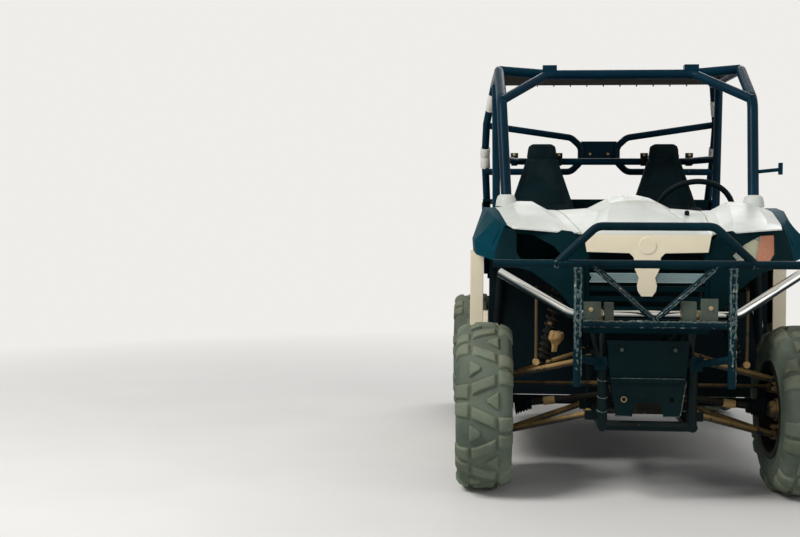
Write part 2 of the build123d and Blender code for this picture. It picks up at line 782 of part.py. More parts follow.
def main_frame():
    """Cabin floor perimeter, uprights and dash bar."""
    front = FIREWALL_Y + 40
    rear = CABIN_REAR_Y
    z = SILL_Z
    box_rear = FRONT_AXLE_Y + FRONT_BOX_REAR
    box_front = REAR_AXLE_Y - REAR_BOX_HALF
    body = dash_bar(FRAME_RADIUS)
    for sign in (1, -1):
        body += rod((sign * SILL_X, front, z), (sign * SILL_X, rear, z), FRAME_RADIUS)
        body += rod((sign * RAIL_X, box_rear, RAIL_Z), (sign * RAIL_X, box_front, RAIL_Z), FRAME_RADIUS)
        body += mitred_tube(a_post_points(sign), FRAME_RADIUS)
        body += b_post(sign, FRAME_RADIUS)
    for y in (front, (front + rear) / 2 - 20, rear):
        body += rod((-SILL_X, y, z), (SILL_X, y, z), FRAME_RADIUS)
    return body


def a_post_points(sign):
    """Route of the lower windscreen post, from the sill to the cage's foot."""
    return [
        (sign * SILL_X, FIREWALL_Y + 40, SILL_Z),
        (sign * 545, FIREWALL_Y - 8, 760),
        (sign * POST_FOOT[0], POST_FOOT[1], POST_FOOT[2]),
    ]


def b_post(sign, radius):
    """Lower part of the post beside the seats."""
    return rod((sign * SILL_X, B_PILLAR_Y, SILL_Z), (sign * 552, B_PILLAR_Y, BED_RAIL_Z + 20), radius)


def bed_frame():
    """Bed rails behind the cabin, bowed round the seat backs, with their legs."""
    z = BED_RAIL_Z
    x = BED_RAIL_X
    front = CABIN_REAR_Y - 15
    rear = TAIL_END_Y - 60
    bow = [
        (-552, B_PILLAR_Y, z),
        (-BED_SIDE_X, front, z),
        (BED_SIDE_X, front, z),
        (552, B_PILLAR_Y, z),
    ]
    tubes = [tube(bow, FRAME_RADIUS, 60)]
    shock_x, shock_z = REAR_SHOCK_TOP
    for sign in (1, -1):
        tubes.append(rod((sign * x, front, z), (sign * x, rear, z), FRAME_RADIUS))
        foot_y = REAR_AXLE_Y + REAR_BOX_HALF - 6
        tubes.append(rod((sign * RAIL_X, foot_y, REAR_UPPER_PIVOT_Z), (sign * x, rear - 40, z), LEG_RADIUS))
        foot_y = REAR_AXLE_Y - REAR_BOX_HALF + 6
        tubes.append(rod((sign * RAIL_X, foot_y, REAR_UPPER_PIVOT_Z), (sign * x, foot_y - 40, z), LEG_RADIUS))
        tubes.append(shock_bracket(sign * shock_x, REAR_AXLE_Y, shock_z, z))
        tubes.append(muffler_hanger(sign * 110, rear - 20, z))
    tubes.append(rod((-x, rear - 20, z), (x, rear - 20, z), FRAME_RADIUS))
    tubes.append(rod((-600, STAY_Y + 80, z), (600, STAY_Y + 80, z), FRAME_RADIUS - 2))
    return tubes[0] + tubes[1:]


def muffler_hanger(x, tube_y, z):
    """Strap from the tail cross tube down to the silencer's top."""
    low = MUFFLER_Z + MUFFLER_RADIUS + SEAT_GAP
    side = 15 if x > 0 else -15
    body = box(x - side, x + side, MUFFLER_Y - 5, MUFFLER_Y + 5, low, z + 4)
    body += box(x - side, x + side, MUFFLER_Y - 5, tube_y, z - 4, z + 4)
    return body


# Roll cage


def cage_side():
    """Left side loop: windscreen post, roof rail and rear post."""
    body = tube([POST_FOOT, POST_BEND, ROOF_CORNER, ROOF_END], CAGE_RADIUS, 110)
    top = roof_rail_point(B_PILLAR_Y)
    body += rod(top, (552, B_PILLAR_Y, BED_RAIL_Z + 20), STAY_RADIUS)
    return body


def post_stub():
    """Stub with its end block on the driver's windscreen post."""
    start = on_line(POST_FOOT, POST_BEND, POST_FOOT[0] + 10)
    end_x = POST_FOOT[0] + 125
    body = rod(start, (end_x, start[1], start[2] + 12), 8)
    return body + box(end_x - 9, end_x + 6, start[1] - 9, start[1] + 9, start[2] - 10, start[2] + 40)


def roof_rail_point(y):
    """Point on the left roof rail's axis at y."""
    share = (y - ROOF_CORNER[1]) / (ROOF_END[1] - ROOF_CORNER[1])
    return tuple(a + (b - a) * share for a, b in zip(ROOF_CORNER, ROOF_END))


def cage_cross(sides):
    """Roof cross tubes at the windscreen, pads on the front one, and the harness bar."""
    x, y, z = ROOF_CORNER
    top = tube(
        [(-x, y, z), (-300, y + 55, z - 14), (300, y + 55, z - 14), (x, y, z)], CAGE_RADIUS - 1, 120
    )
    low_x, low_y, low_z = POST_BEND
    brace = tube(
        [
            (-low_x, low_y + 5, low_z + 5),
            (-330, y - 50, z - 26),
            (330, y - 50, z - 26),
            (low_x, low_y + 5, low_z + 5),
        ],
        CAGE_RADIUS - 3,
        80,
    )
    for pad_x in (-320, 320):
        brace += box(pad_x - 32, pad_x + 32, y - 70, y - 28, z - 23, z + 14)
    bar = tube(
        [
            (-558, B_PILLAR_Y, HARNESS_Z),
            (-430, B_PILLAR_Y + 240, HARNESS_Z),
            (430, B_PILLAR_Y + 240, HARNESS_Z),
            (558, B_PILLAR_Y, HARNESS_Z),
        ],
        STAY_RADIUS - 2,
        90,
    )
    return Compound(children=[largest(piece - sides) for piece in (top, brace, bar)])


def stay(sign, radius):
    """Rear stay, from the roof corner to the bed frame."""
    points = [
        (sign * 571, ROOF_END[1] + 8, ROOF_END[2] - 2),
        (sign * 610, STAY_Y - 110, 1600),
        (sign * 618, STAY_Y - 10, 1430),
        (sign * 606, STAY_Y + 70, 1180),
        (sign * 600, STAY_Y + 80, BED_RAIL_Z + 10),
    ]
    return mitred_tube(points, radius)


def rear_cage(sides):
    """Rear stays with two D-shaped loops and the middle plate."""
    loop_y = STAY_Y - 40
    loop = tube(
        [
            (612, loop_y, 1598),
            (150, loop_y, 1530),
            (96, loop_y, 1480),
            (96, loop_y, 1400),
            (150, loop_y, 1345),
            (616, loop_y + 20, 1345),
        ],
        LOOP_RADIUS,
        LOOP_BEND,
    )
    side = stay(1, STAY_RADIUS) + loop
    body = side + mirrored(side)
    body += box(-96, 96, loop_y - 4, loop_y + 4, 1400, 1510)
    return largest(body - sides)


def roof_panel():
    """Roof sheet between the side rails, following their slope and spread."""
    faces = []
    for y in (ROOF_CORNER[1] + 80, ROOF_END[1] - 5):
        x, _, z = roof_rail_point(y)
        edge = x - CAGE_RADIUS - SEAT_GAP
        low, high = z - ROOF_SHEET / 2, z + ROOF_SHEET / 2
        faces.append(face_at_y(y, [(-edge, low), (edge, low), (edge, high), (-edge, high)]))
    return loft(faces, ruled=True)


# Body


def front_y(distance):
    """Y at a distance behind the front axle."""
    return FRONT_AXLE_Y + distance


def hood():
    """Middle hood panel with its raised centre."""
    sections = []
    for row in HOOD_SECTIONS:
        y, crest, crease_x, crease_z, valley_x, valley_z, edge_x, edge_z = row
        half = [(CREST_X, crest), (crease_x, crease_z), (valley_x, valley_z), (edge_x, edge_z)]
        sections.append((front_y(y), [(-x, z) for x, z in reversed(half)] + half))
    return skin_along_y(sections, SKIN)


def front_fender():
    """Left white fender top, its flange under the hood and the round cap at the post."""
    sections = []
    flange = []
    for y, *points in FENDER_SECTIONS:
        edge = (between(HOOD_SECTIONS, y, 6) + SEAM, between(HOOD_SECTIONS, y, 7))
        sections.append((front_y(y), [edge, *zip(points[::2], points[1::2])]))
    for y in (FENDER_SECTIONS[0][0], *[row[0] for row in HOOD_SECTIONS[1:]]):
        edge_x = between(HOOD_SECTIONS, y, 6)
        edge_z = between(HOOD_SECTIONS, y, 7)
        under = edge_z - SKIN - SEAT_GAP
        step = [(edge_x + SEAM, under), (edge_x + SEAM, edge_z - 2), (edge_x + SEAM + 8, edge_z - 2)]
        low = [(edge_x + SEAM + 8, under - FLANGE_THICK), (edge_x - FLANGE, under - FLANGE_THICK)]
        flange.append(face_at_y(front_y(y), [(edge_x - FLANGE, under), *step, *low]))
    body = skin_along_y(sections, SKIN) + loft(flange, ruled=True)
    body -= flange_relief()
    body += Pos(CAP_X, CAP_Y, 1128) * cap_profile()
    clear = rod(POST_FOOT, POST_BEND, CAGE_RADIUS + SEAT_GAP)
    return largest(body - clear)


def flange_relief():
    """Space that the hood takes above the fender's flange."""
    faces = []
    for row in HOOD_SECTIONS:
        y, valley_x, valley_z, edge_x, edge_z = row[0], row[4], row[5], row[6], row[7]
        low = [(valley_x, valley_z - SKIN - SEAT_GAP), (edge_x + SEAT_GAP, edge_z - SKIN - SEAT_GAP)]
        faces.append(face_at_y(front_y(y), [*low, (edge_x + SEAT_GAP, edge_z + 60), (valley_x, valley_z + 60)]))
    return loft(faces, ruled=True)


def cap_profile():
    """Round cap that closes the fender round the post, about its own Z axis."""
    line = [(0, 0), (45, 0), (42, 26), (37, 42), (28, 50), (0, 50)]
    return revolve(Plane.XZ * make_face(Polyline(*line, close=True)), axis=Axis.Z, revolution_arc=360)


def nose_panel():
    """White nose plate with its drooping middle stem and a plain round badge."""
    y = front_y(HOOD_FRONT) - SEAT_GAP
    half = [
        (236, 1011),
        (225, 946),
        (66, 942),
        (50, 926),
        (45, 880),
        (30, 850),
        (37, 820),
        (34, 800),
        (20, 780),
    ]
    outline = half + [(-x, z) for x, z in reversed(half)]
    body = plate_xz(outline, y - NOSE_THICK, y)
    body += Pos(0, y - NOSE_THICK - 1, 971) * Rot(90, 0, 0) * Cylinder(32, 4)
    return body


def grille():
    """Dark grille frame behind the nose plate, with level slats."""
    y = front_y(HOOD_FRONT)
    side = 18
    body = box(-GRILLE_HALF, GRILLE_HALF, y, y + GRILLE_DEPTH, GRILLE_LOW, GRILLE_HIGH)
    inner = GRILLE_HALF - side
    body -= box(-inner, inner, y - 5, y + GRILLE_DEPTH + 5, GRILLE_LOW + 15, 940)
    for z in (690, 730, 770, 808, 845, 890):
        body += box(-inner, inner, y + 4, y + GRILLE_DEPTH - 6, z - 9, z + 9)
    return body


def fascia_rows():
    """Rows of the nose surround with every top worked out."""
    under = SKIN + SEAT_GAP
    edge = list(zip(FENDER_SECTIONS[0][3::2], FENDER_SECTIONS[0][4::2]))
    rows = []
    for x, y, low, high in FASCIA_SECTIONS:
        top = between(edge, x, 1) - under if high is None else high
        rows.append((x, front_y(y), low, top))
    return rows


def fascia_slab(front, back):
    """Slab lofted along the nose surround, from front to back of its outer face."""
    faces = []
    for x, y, low, high in fascia_rows():
        y_low, y_high = y, y + FASCIA_LEAN
        faces.append(
            face_at_x(x, [(y_low + front, low), (y_low + back, low), (y_high + back, high), (y_high + front, high)])
        )
    return loft(faces, ruled=True)


def lamp_outline(grow):
    """Slanted lamp opening in front view, left side, widened by grow."""
    return [
        (486 + grow, 1012 + grow),
        (428, 1009 + grow),
        (345 - grow, 966 + grow),
        (318 - grow, 934),
        (343 - grow, 908 - grow),
        (465, 911 - grow),
        (486 + grow, 940),
    ]


def fascia():
    """Left dark nose surround with the lamp housing set in it."""
    front = front_y(-300)
    back = front_y(LAMP_BACK)
    housing = plate_xz(lamp_outline(LAMP_WALL), front, back + LAMP_WALL) - fascia_slab(-300, SKIN / 2)
    body = fascia_slab(0, SKIN) + largest(housing)
    return largest(body - plate_xz(lamp_outline(0), front, back))


def lamp_lens():
    """Lens in the left lamp housing, following the nose surround."""
    slab = fascia_slab(3, 13)
    return largest(slab & plate_xz(lamp_outline(-SEAT_GAP), front_y(-300), front_y(LAMP_BACK)))


def fender_flare():
    """Left dark faceted flare outside the white fender top."""
    faces = []
    for y, top_x, top_z, crest_x, crest_z, lip_x, lip_z in FLARE_SECTIONS:
        inner_x = between(FENDER_SECTIONS, y, 7) + SEAT_GAP
        inner_z = between(FENDER_SECTIONS, y, 8)
        outline = [
            (inner_x, inner_z),
            (top_x, top_z),
            (crest_x, crest_z),
            (lip_x, lip_z),
            (lip_x - SKIN, lip_z),
            (crest_x - SKIN - 2, crest_z),
            (top_x - 3, top_z - SKIN),
            (inner_x, inner_z - SKIN),
        ]
        faces.append(face_at_y(front_y(y), outline))
    body = loft(faces, ruled=True)
    for y, inner_x, outer_x in FLARE_SLOTS:
        body -= box(inner_x, outer_x, front_y(y) - SLOT_HALF, front_y(y) + SLOT_HALF, 900, 1110)
    return body


def side_panel():
    """Left white side: wing end behind the front wheel and the door sill."""
    front = FIREWALL_Y + 15
    back = B_PILLAR_Y + 130
    low = SILL_Z - SKIN / 2
    # Columns: y, z of the outline, then which way the inner line steps in
    rows = (
        (front, low, 1, 1),
        (front - 2, 640, 1, 0),
        (front + 6, 938, 1, -1),
        (front + 120, 938, -1, -1),
        (front + 150, 620, -1, -1),
        (front + 220, 520, -1, -1),
        (back - 170, 500, 1, -1),
        (back - 70, 600, 1, -1),
        (back, 600, -1, -1),
        (back, low, -1, 1),
    )
    outline = [(y, z) for y, z, _, _ in rows]
    inset = [(y + dy * SKIN, z + dz * SKIN) for y, z, dy, dz in rows]
    inner_x = SILL_X + FRAME_RADIUS + SEAT_GAP
    body = plate_yz(outline, inner_x, BODY_HALF) - plate_yz(inset, inner_x - 10, BODY_HALF - SKIN)
    return body - box(inner_x - 10, BODY_HALF - WING_WIDTH, front - 10, front + 160, 560, 950)


def rear_fender():
    """Left white rear side with its wheel arch, hung from the cargo box's rim."""
    front = B_PILLAR_Y + 130 + SEAM
    back = TAIL_END_Y - 30
    x_top = BODY_HALF - 44
    x = BODY_HALF - 4
    top = BED_LIP_LOW - SEAT_GAP
    line = [(x_top, top), (x, 930), (x, 560)]
    lining = [(x - SKIN, 560), (x - SKIN, 928), (x_top - SKIN, top)]
    body = plate_xz([*line, *lining], front, back)
    body -= rod((x - 150, REAR_AXLE_Y, AXLE_Z), (x + 150, REAR_AXLE_Y, AXLE_Z), TYRE_RADIUS + 85)
    return largest(body)


def floor_tub():
    """Cabin tub: floor, firewall, side kicks and the hollow seat box."""
    y0, y1 = FIREWALL_Y, CABIN_REAR_Y
    floor = TUB_FLOOR_Z + TUB_FLOOR
    seat_front = CABIN_REAR_Y - 530
    outer = [
        (y0, TUB_FLOOR_Z),
        (y1, TUB_FLOOR_Z),
        (y1, SEAT_BOX_Z),
        (seat_front, SEAT_BOX_Z),
        (seat_front - 30, floor),
        (y0 + FIREWALL_THICK, floor),
        (y0 + FIREWALL_THICK, FIREWALL_TOP),
        (y0, FIREWALL_TOP),
    ]
    body = plate_yz(outer, -TUB_HALF, TUB_HALF)
    inner = TUB_HALF - 10
    body -= box(-inner, inner, seat_front + 20, y1 - 10, TUB_FLOOR_Z - 4, SEAT_BOX_Z - 10)
    for sign in (1, -1):
        body -= mitred_tube(a_post_points(sign), FRAME_RADIUS + 1)
        body -= b_post(sign, FRAME_RADIUS + 1)
    body -= lower_shaft(24)
    body -= column_strut(16)
    return largest(body)


def dashboard():
    """Dark dash shell under the hood's rear edge."""
    y0 = FIREWALL_Y + FIREWALL_THICK + SEAT_GAP
    outer = [
        (y0, 900),
        (y0 + 120, 930),
        (y0 + 160, 1010),
        (y0 + 110, 1085),
        (y0, 1098),
    ]
    inset = [
        (y0 - 5, 908),
        (y0 + 115, 936),
        (y0 + 152, 1008),
        (y0 + 106, 1078),
        (y0 - 5, 1092),
    ]
    half = 500
    body = plate_yz(outer, -half, half) - plate_yz(inset, -half + 4, half - 4)
    post = rod(POST_FOOT, POST_BEND, CAGE_RADIUS + 1)
    body -= post + mirrored(post)
    body -= column_strut(14)
    body -= rod(column_point(SLEEVE_START - 60), column_point(SLEEVE_END + 50), COLUMN_RADIUS + 12)
    return largest(body)


def seat():
    """Left bucket seat: cushion and high tapered back."""
    x = SEAT_X
    rear = CABIN_REAR_Y - 100
    low = SEAT_BOX_Z + SEAT_GAP
    high = low + CUSHION_HIGH
    cushion = box(x - CUSHION_HALF, x + CUSHION_HALF, rear - 440, rear, low, high)
    faces = []
    # Columns: z, front y from the cushion's rear, half width, depth
    for z, y, half, depth in (
        (high + SEAT_GAP, -70, 212, 90),
        (1150, -35, 186, 80),
        (1411, 2, 98, 75),
        (1478, 12, 80, 68),
        (1500, 15, 58, 60),
    ):
        corners = [
            (x - half, rear + y),
            (x + half, rear + y),
            (x + half, rear + y + depth),
            (x - half, rear + y + depth),
        ]
        faces.append(Pos(0, 0, z) * make_face(Polyline(*corners, close=True)))
    return cushion, loft(faces, ruled=True)


def engine_block():
    """Engine and gearbox as one plain block behind the seats, on the lower rails."""
    low = RAIL_Z + FRAME_RADIUS + SEAT_GAP
    body = box(-210, 210, CABIN_REAR_Y + 25, REAR_AXLE_Y - REAR_BOX_HALF - 30, low, 700)
    return fillet(body.edges().filter_by(Axis.Y), 30)


def muffler():
    """Exhaust silencer across the tail with its outlet."""
    y, z = MUFFLER_Y, MUFFLER_Z
    body = rod((-170, y, z), (170, y, z), MUFFLER_RADIUS)
    body += rod((110, y, z), (110, y + 110, z - 20), 24)
    return body


def cargo_bed():
    """Open cargo box with a rolled rim over its outer sides."""
    y0, y1 = CABIN_REAR_Y + 40, TAIL_END_Y - 25
    z0, z1 = BED_RAIL_Z + FRAME_RADIUS + SEAT_GAP, BED_TOP
    inner = BED_HALF - BED_WALL
    rim_x = BODY_HALF - 44
    body = box(-BED_HALF, BED_HALF, y0, y1, z0, z1)
    body -= box(-inner, inner, y0 + BED_WALL, y1 - BED_WALL, z0 + BED_FLOOR, z1 + 10)
    for sign in (1, -1):
        body += box(sign * inner, sign * rim_x, y0, y1, z1 - 12, z1)
        body += box(sign * (rim_x - BED_LIP), sign * rim_x, y0, y1, BED_LIP_LOW, z1)
        body -= stay(sign, STAY_RADIUS + 3)
    return largest(body)


def tail_lamps():
    """Two red lamps on the bed's rear wall."""
    y = TAIL_END_Y - 25
    return both_sides(box(BED_HALF - 100, BED_HALF - 10, y, y + 18, 1040, 1120))


def rear_bumper(frame):
    """Rear guard tube with the tow tongue and its hole."""
    y = TAIL_END_Y - REAR_GUARD_RADIUS
    z = 470
    body = tube([(-420, y - 60, z + 50), (-340, y, z), (340, y, z), (420, y - 60, z + 50)], REAR_GUARD_RADIUS, 40)
    start_y = REAR_AXLE_Y + REAR_BOX_HALF - FRAME_RADIUS
    for sign in (1, -1):
        body += rod((sign * RAIL_X, start_y, RAIL_Z), (sign * RAIL_X, y, z), REAR_GUARD_RADIUS - 3)
    cross_y = start_y + (TOW_Z - RAIL_Z) / (z - RAIL_Z) * (y - start_y)
    body += rod((-RAIL_X, cross_y, TOW_Z), (RAIL_X, cross_y, TOW_Z), 13)
    half = TOW_PLATE_THICK / 2
    body += box(-45, 45, cross_y, TAIL_END_Y - 6, TOW_Z - half, TOW_Z + half)
    body -= rod((0, y - 30, TOW_Z - 50), (0, y - 30, TOW_Z + 50), TOW_HOLE_RADIUS)
    return largest(body - frame)


# Front guards


def chrome_tube(radius):
    """Bright bumper tube, its arms swept up and back."""
    y = CHROME_Y
    end_y = front_y(-250)
    points = [(-550, end_y, 869), (-290, y, CHROME_Z), (290, y, CHROME_Z), (550, end_y, 869)]
    return tube(points, radius, 80)


def brush_guard():
    """Front guard: hoop, long tube, uprights, lower bar, V brace, plates and clamps."""
    y = GUARD_Y
    z = LONG_TUBE_Z
    body = tube([(-350, y, z), (-207, y, 1042), (207, y, 1042), (350, y, z)], GUARD_RADIUS, 50)
    body += rod((-577, y, z), (577, y, z), GUARD_RADIUS)
    for sign in (1, -1):
        body += rod((sign * UPRIGHT_X, y, z), (sign * UPRIGHT_X, y, UPRIGHT_LOW), UPRIGHT_RADIUS)
        body += rod((sign * 208, y, z - 15), (0, y, LOWER_BAR_Z + 16), 11)
        body += guard_foot(sign)
    body += rod((-UPRIGHT_X, y, LOWER_BAR_Z), (UPRIGHT_X, y, LOWER_BAR_Z), LOWER_BAR_RADIUS)
    body += rod((0, y, LOWER_BAR_Z + 16), (0, y, LOWER_BAR_Z), 11)
    low = LOWER_BAR_Z + LOWER_BAR_RADIUS - 4
    # Columns: left edge x, right edge x, top z of each flat plate beside the V brace
    for x0, x1, top in ((-253, -190, 772), (161, 222, 786)):
        body += box(x0, x1, y - 3, y + 3, low, top)
    for x0, x1, top in ((-176, -144, 768), (98, 148, 774)):
        body += box(x0, x1, y + 4, CHROME_Y + 10, low - 2, top)
    return body - chrome_tube(CHROME_RADIUS + SEAT_GAP)


def guard_foot(sign):
    """Brace from one upright to its foot plate on the front box."""
    plate_y = front_y(-FRONT_BOX_FRONT) - SEAT_GAP
    z = FRONT_UPPER_PIVOT_Z
    foot_x = RAIL_X + 10
    body = rod((sign * UPRIGHT_X, GUARD_Y, 570), (sign * foot_x, plate_y - GUARD_FOOT / 2, z), 13)
    body -= box(-400, 400, plate_y, plate_y + 60, z - 60, z + 60)
    return body + box(sign * (RAIL_X - 12), sign * (RAIL_X + 32), plate_y - GUARD_FOOT, plate_y, z - 25, z + 25)


def skid_plate():
    """Folded front plate under the nose, with two notched feet."""
    back = front_y(-FRONT_BOX_FRONT) - SEAT_GAP
    half = [
        (150, 615),
        (140, 480),
        (118, 336),
        (58, 336),
        (44, 388),
    ]
    outline = half + [(-x, z) for x, z in reversed(half)]
    body = plate_xz(outline, back - SKID_THICK, back)
    body += box(-138, 138, back - 14, back - 3, 463, 479)
    for sign in (1, -1):
        body += rod((sign * 98, back - 9, 585), (sign * 98, back, 585), 12)
        body -= rod((sign * 88, back - 20, 400), (sign * 88, back + 20, 400), 9)
    body += box(-150, 150, back - 1, back + 40, 605, 615)
    return body


def sway_bar():
    """Front sway bar behind the tower's rear legs, with its drop links to the upper arms."""
    x = 405.0
    z = 795.0
    bar_radius = 9.0
    start, end = arm_leg(FRONT_AXLE_Y, FRONT_UPPER_PIVOT_Z, KINGPIN_X, UPPER_JOINT_Z, -1)
    _, foot_y, leg_z = on_line(start, end, x)
    slope = (FRONT_UPPER_PIVOT_Z - UPPER_JOINT_Z) / (end[0] - start[0])
    foot_z = leg_z + ARM_RADIUS * sqrt(1 + slope**2) + 6 * slope + 2 * SEAT_GAP
    foot, top = tower_leg(1, 1)
    rise = (z - foot[2]) / (top[2] - foot[2])
    leg_y = foot[1] + (top[1] - foot[1]) * rise
    run = sqrt((top[1] - foot[1]) ** 2 + (top[2] - foot[2]) ** 2) / (top[2] - foot[2])
    back_y = leg_y + (LEG_RADIUS + bar_radius + SEAT_GAP) * run
    bar = tube([(-x, foot_y, z), (-x, back_y, z), (x, back_y, z), (x, foot_y, z)], bar_radius, 40)
    for sign in (1, -1):
        bar += rod((sign * x, foot_y, z), (sign * x, foot_y, foot_z), 6)
    return bar


def build():
    """Make every node at its place."""
    nodes = {}
    side = cage_side()
    sides = Compound(children=[*solids_of(side + post_stub()), *solids_of(mirrored(side))])
    front_box = subframe(
        FRONT_AXLE_Y, FRONT_UPPER_PIVOT_Z, front_y(-FRONT_BOX_FRONT), front_y(FRONT_BOX_REAR)
    )
    rear_box = subframe(
        REAR_AXLE_Y, REAR_UPPER_PIVOT_Z, REAR_AXLE_Y - REAR_BOX_HALF, REAR_AXLE_Y + REAR_BOX_HALF
    )
    nodes["frame_front"] = front_box + front_tower()
    nodes["frame_main"] = main_frame() - sides - nodes["frame_front"]
    nodes["frame_rear"] = rear_box + bed_frame() - nodes["frame_main"]
    nodes["cage_sides"] = sides
    nodes["cage_cross"] = cage_cross(sides)
    nodes["rear_cage"] = rear_cage(sides) - nodes["frame_rear"]
    nodes["roof_panel"] = roof_panel()
    nodes["hood"] = hood()
    nodes["front_fenders"] = both_sides(front_fender())
    nodes["nose_panel"] = nose_panel()
    nodes["grille"] = grille()
    nodes["fascia"] = both_sides(fascia())
    nodes["lamp_lens"] = lamp_lens()
    nodes["fender_flares"] = both_sides(fender_flare())
    nodes["side_panels"] = both_sides(side_panel())
    nodes["rear_fenders"] = both_sides(rear_fender())
    nodes["floor_tub"] = floor_tub()
    nodes["dashboard"] = dashboard()
    cushion, back = seat()
    nodes["seat_cushions"] = both_sides(cushion)
    nodes["seat_backs"] = both_sides(back)
    nodes["engine_block"] = engine_block()
    nodes["muffler"] = muffler()
    nodes["cargo_bed"] = cargo_bed()
    nodes["tail_lamps"] = tail_lamps()
    nodes["rear_bumper"] = rear_bumper(rear_box)
    nodes["brush_guard"] = brush_guard()
    nodes["chrome_bumper"] = chrome_tube(CHROME_RADIUS)
    nodes["skid_plate"] = skid_plate()
    nodes["sway_bar"] = sway_bar()
    nodes["arms_front"] = suspension_arms(FRONT_AXLE_Y, FRONT_UPPER_PIVOT_Z, KINGPIN_X)
    nodes["arms_rear"] = suspension_arms(REAR_AXLE_Y, REAR_UPPER_PIVOT_Z, REAR_JOINT_X)
    front_foot = shock_foot(FRONT_AXLE_Y, FRONT_UPPER_PIVOT_Z, KINGPIN_X)
    rear_foot = shock_foot(REAR_AXLE_Y, REAR_UPPER_PIVOT_Z, REAR_JOINT_X)
    nodes["shocks_front"] = shock(front_foot, (FRONT_SHOCK_TOP[0], FRONT_AXLE_Y, FRONT_SHOCK_TOP[1]))
    nodes["shocks_rear"] = shock(rear_foot, (REAR_SHOCK_TOP[0], REAR_AXLE_Y, REAR_SHOCK_TOP[1]))
    nodes["driveline_front"] = driveline(FRONT_AXLE_Y, FRONT_BOOT_X)
    nodes["driveline_rear"] = driveline(REAR_AXLE_Y, REAR_BOOT_X)
    nodes["hub_carriers"] = both_sides(hub_carrier())
    nodes["steering_gear"] = steering_gear()
    nodes["steering_wheel"] = steering_wheel()
    nodes["tie_rods"] = tie_rods()
    for name, sign in SIDES:
        nodes[f"knuckle_{name}"] = on_side(knuckle(), sign)
        nodes[f"tyre_front_{name}"], nodes[f"rim_front_{name}"] = wheel(
            FRONT_WHEEL_X, FRONT_AXLE_Y, FRONT_TYRE_WIDTH, FRONT_DISC_X, sign
        )
        nodes[f"tyre_rear_{name}"], nodes[f"rim_rear_{name}"] = wheel(
            REAR_WHEEL_X, REAR_AXLE_Y, REAR_TYRE_WIDTH, REAR_DISC_X, sign
        )
    return nodes


parts = {name: save(name, shape) for name, shape in build().items()}
print(len(parts), "nodes")
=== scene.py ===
import math
import random

import bmesh
import bpy
from mathutils import Matrix, Vector, noise


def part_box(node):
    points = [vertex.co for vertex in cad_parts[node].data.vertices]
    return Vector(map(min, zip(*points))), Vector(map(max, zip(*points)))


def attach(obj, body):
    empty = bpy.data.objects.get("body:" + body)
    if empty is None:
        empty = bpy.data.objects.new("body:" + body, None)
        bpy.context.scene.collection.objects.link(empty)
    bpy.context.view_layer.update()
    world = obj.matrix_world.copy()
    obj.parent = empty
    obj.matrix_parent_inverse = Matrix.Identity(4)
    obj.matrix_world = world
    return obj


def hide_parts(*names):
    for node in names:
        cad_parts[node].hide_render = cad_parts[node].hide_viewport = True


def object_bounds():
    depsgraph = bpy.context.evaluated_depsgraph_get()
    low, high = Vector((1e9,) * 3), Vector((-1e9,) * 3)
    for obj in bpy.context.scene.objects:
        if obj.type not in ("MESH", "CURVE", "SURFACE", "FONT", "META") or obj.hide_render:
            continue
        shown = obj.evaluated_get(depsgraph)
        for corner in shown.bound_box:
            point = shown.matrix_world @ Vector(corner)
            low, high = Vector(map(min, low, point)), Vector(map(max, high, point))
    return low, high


# Two-seat dune buggy: materials, soft seats, tyres, springs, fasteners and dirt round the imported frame.
# Metres, except in mm() and where a comment says millimetres. +Z is up, the nose faces -Y, and the
# driver's left is +X.

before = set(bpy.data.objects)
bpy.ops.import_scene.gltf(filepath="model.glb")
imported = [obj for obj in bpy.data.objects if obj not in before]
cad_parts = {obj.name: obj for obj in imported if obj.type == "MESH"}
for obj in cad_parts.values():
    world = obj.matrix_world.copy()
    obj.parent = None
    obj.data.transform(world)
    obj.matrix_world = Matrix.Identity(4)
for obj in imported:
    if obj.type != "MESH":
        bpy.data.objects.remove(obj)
cad_low, cad_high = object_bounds()

# Axles
FRONT_AXLE_Y = -1.010
REAR_AXLE_Y = 1.040
AXLE_Z = 0.330

# Nose and guards
GUARD_Y = -1.424
UPRIGHT_X = 0.273
CHROME_Y = -1.3897
CHROME_Z = 0.722
BOX_POST_X = 0.165
BOX_POST_Y = -1.253
BOX_WELD_RADIUS = 0.0195
SKID_FRONT_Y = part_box("skid_plate")[0].y
SKID_FACE_Y = SKID_FRONT_Y + 0.010
SKID_BOSS_Y = SKID_FACE_Y - 0.005
HOOD_FOLD_Y = -0.810
# Left and right edges in millimetres of the plates and clamps in front of the bright tube
PLATE_SPANS = ((-254, -189), (-177, -143), (97, 149), (160, 223))

# Cabin and tail
CABIN_REAR_Y = 0.600
HARNESS_Y = 0.610
HARNESS_Z = 1.392
BRACKET_X = (-0.460, -0.225, 0.225, 0.460)
MIDDLE_PLATE_Y = 0.746
BED_REAR_Y = 1.415

DUST = (0.42, 0.31, 0.20)
RUST = (0.20, 0.075, 0.03)
# Near-black of the painted shade on faces turned downwards
LOWER_SHADE = (0.010, 0.022, 0.026)
BACKDROP = (0.86, 0.85, 0.82)
SKY = (0.86, 0.92, 1.0)

# Names of the driver's left and right, and the sign of x there
SIDES = (("left", 1), ("right", -1))

# Points nearer than this are one
SAME_POINT = 0.00002

# Seed of the scattered lumps and of the welds' sway
SEED = 7
random.seed(SEED)
noise.seed_set(SEED)


# Materials


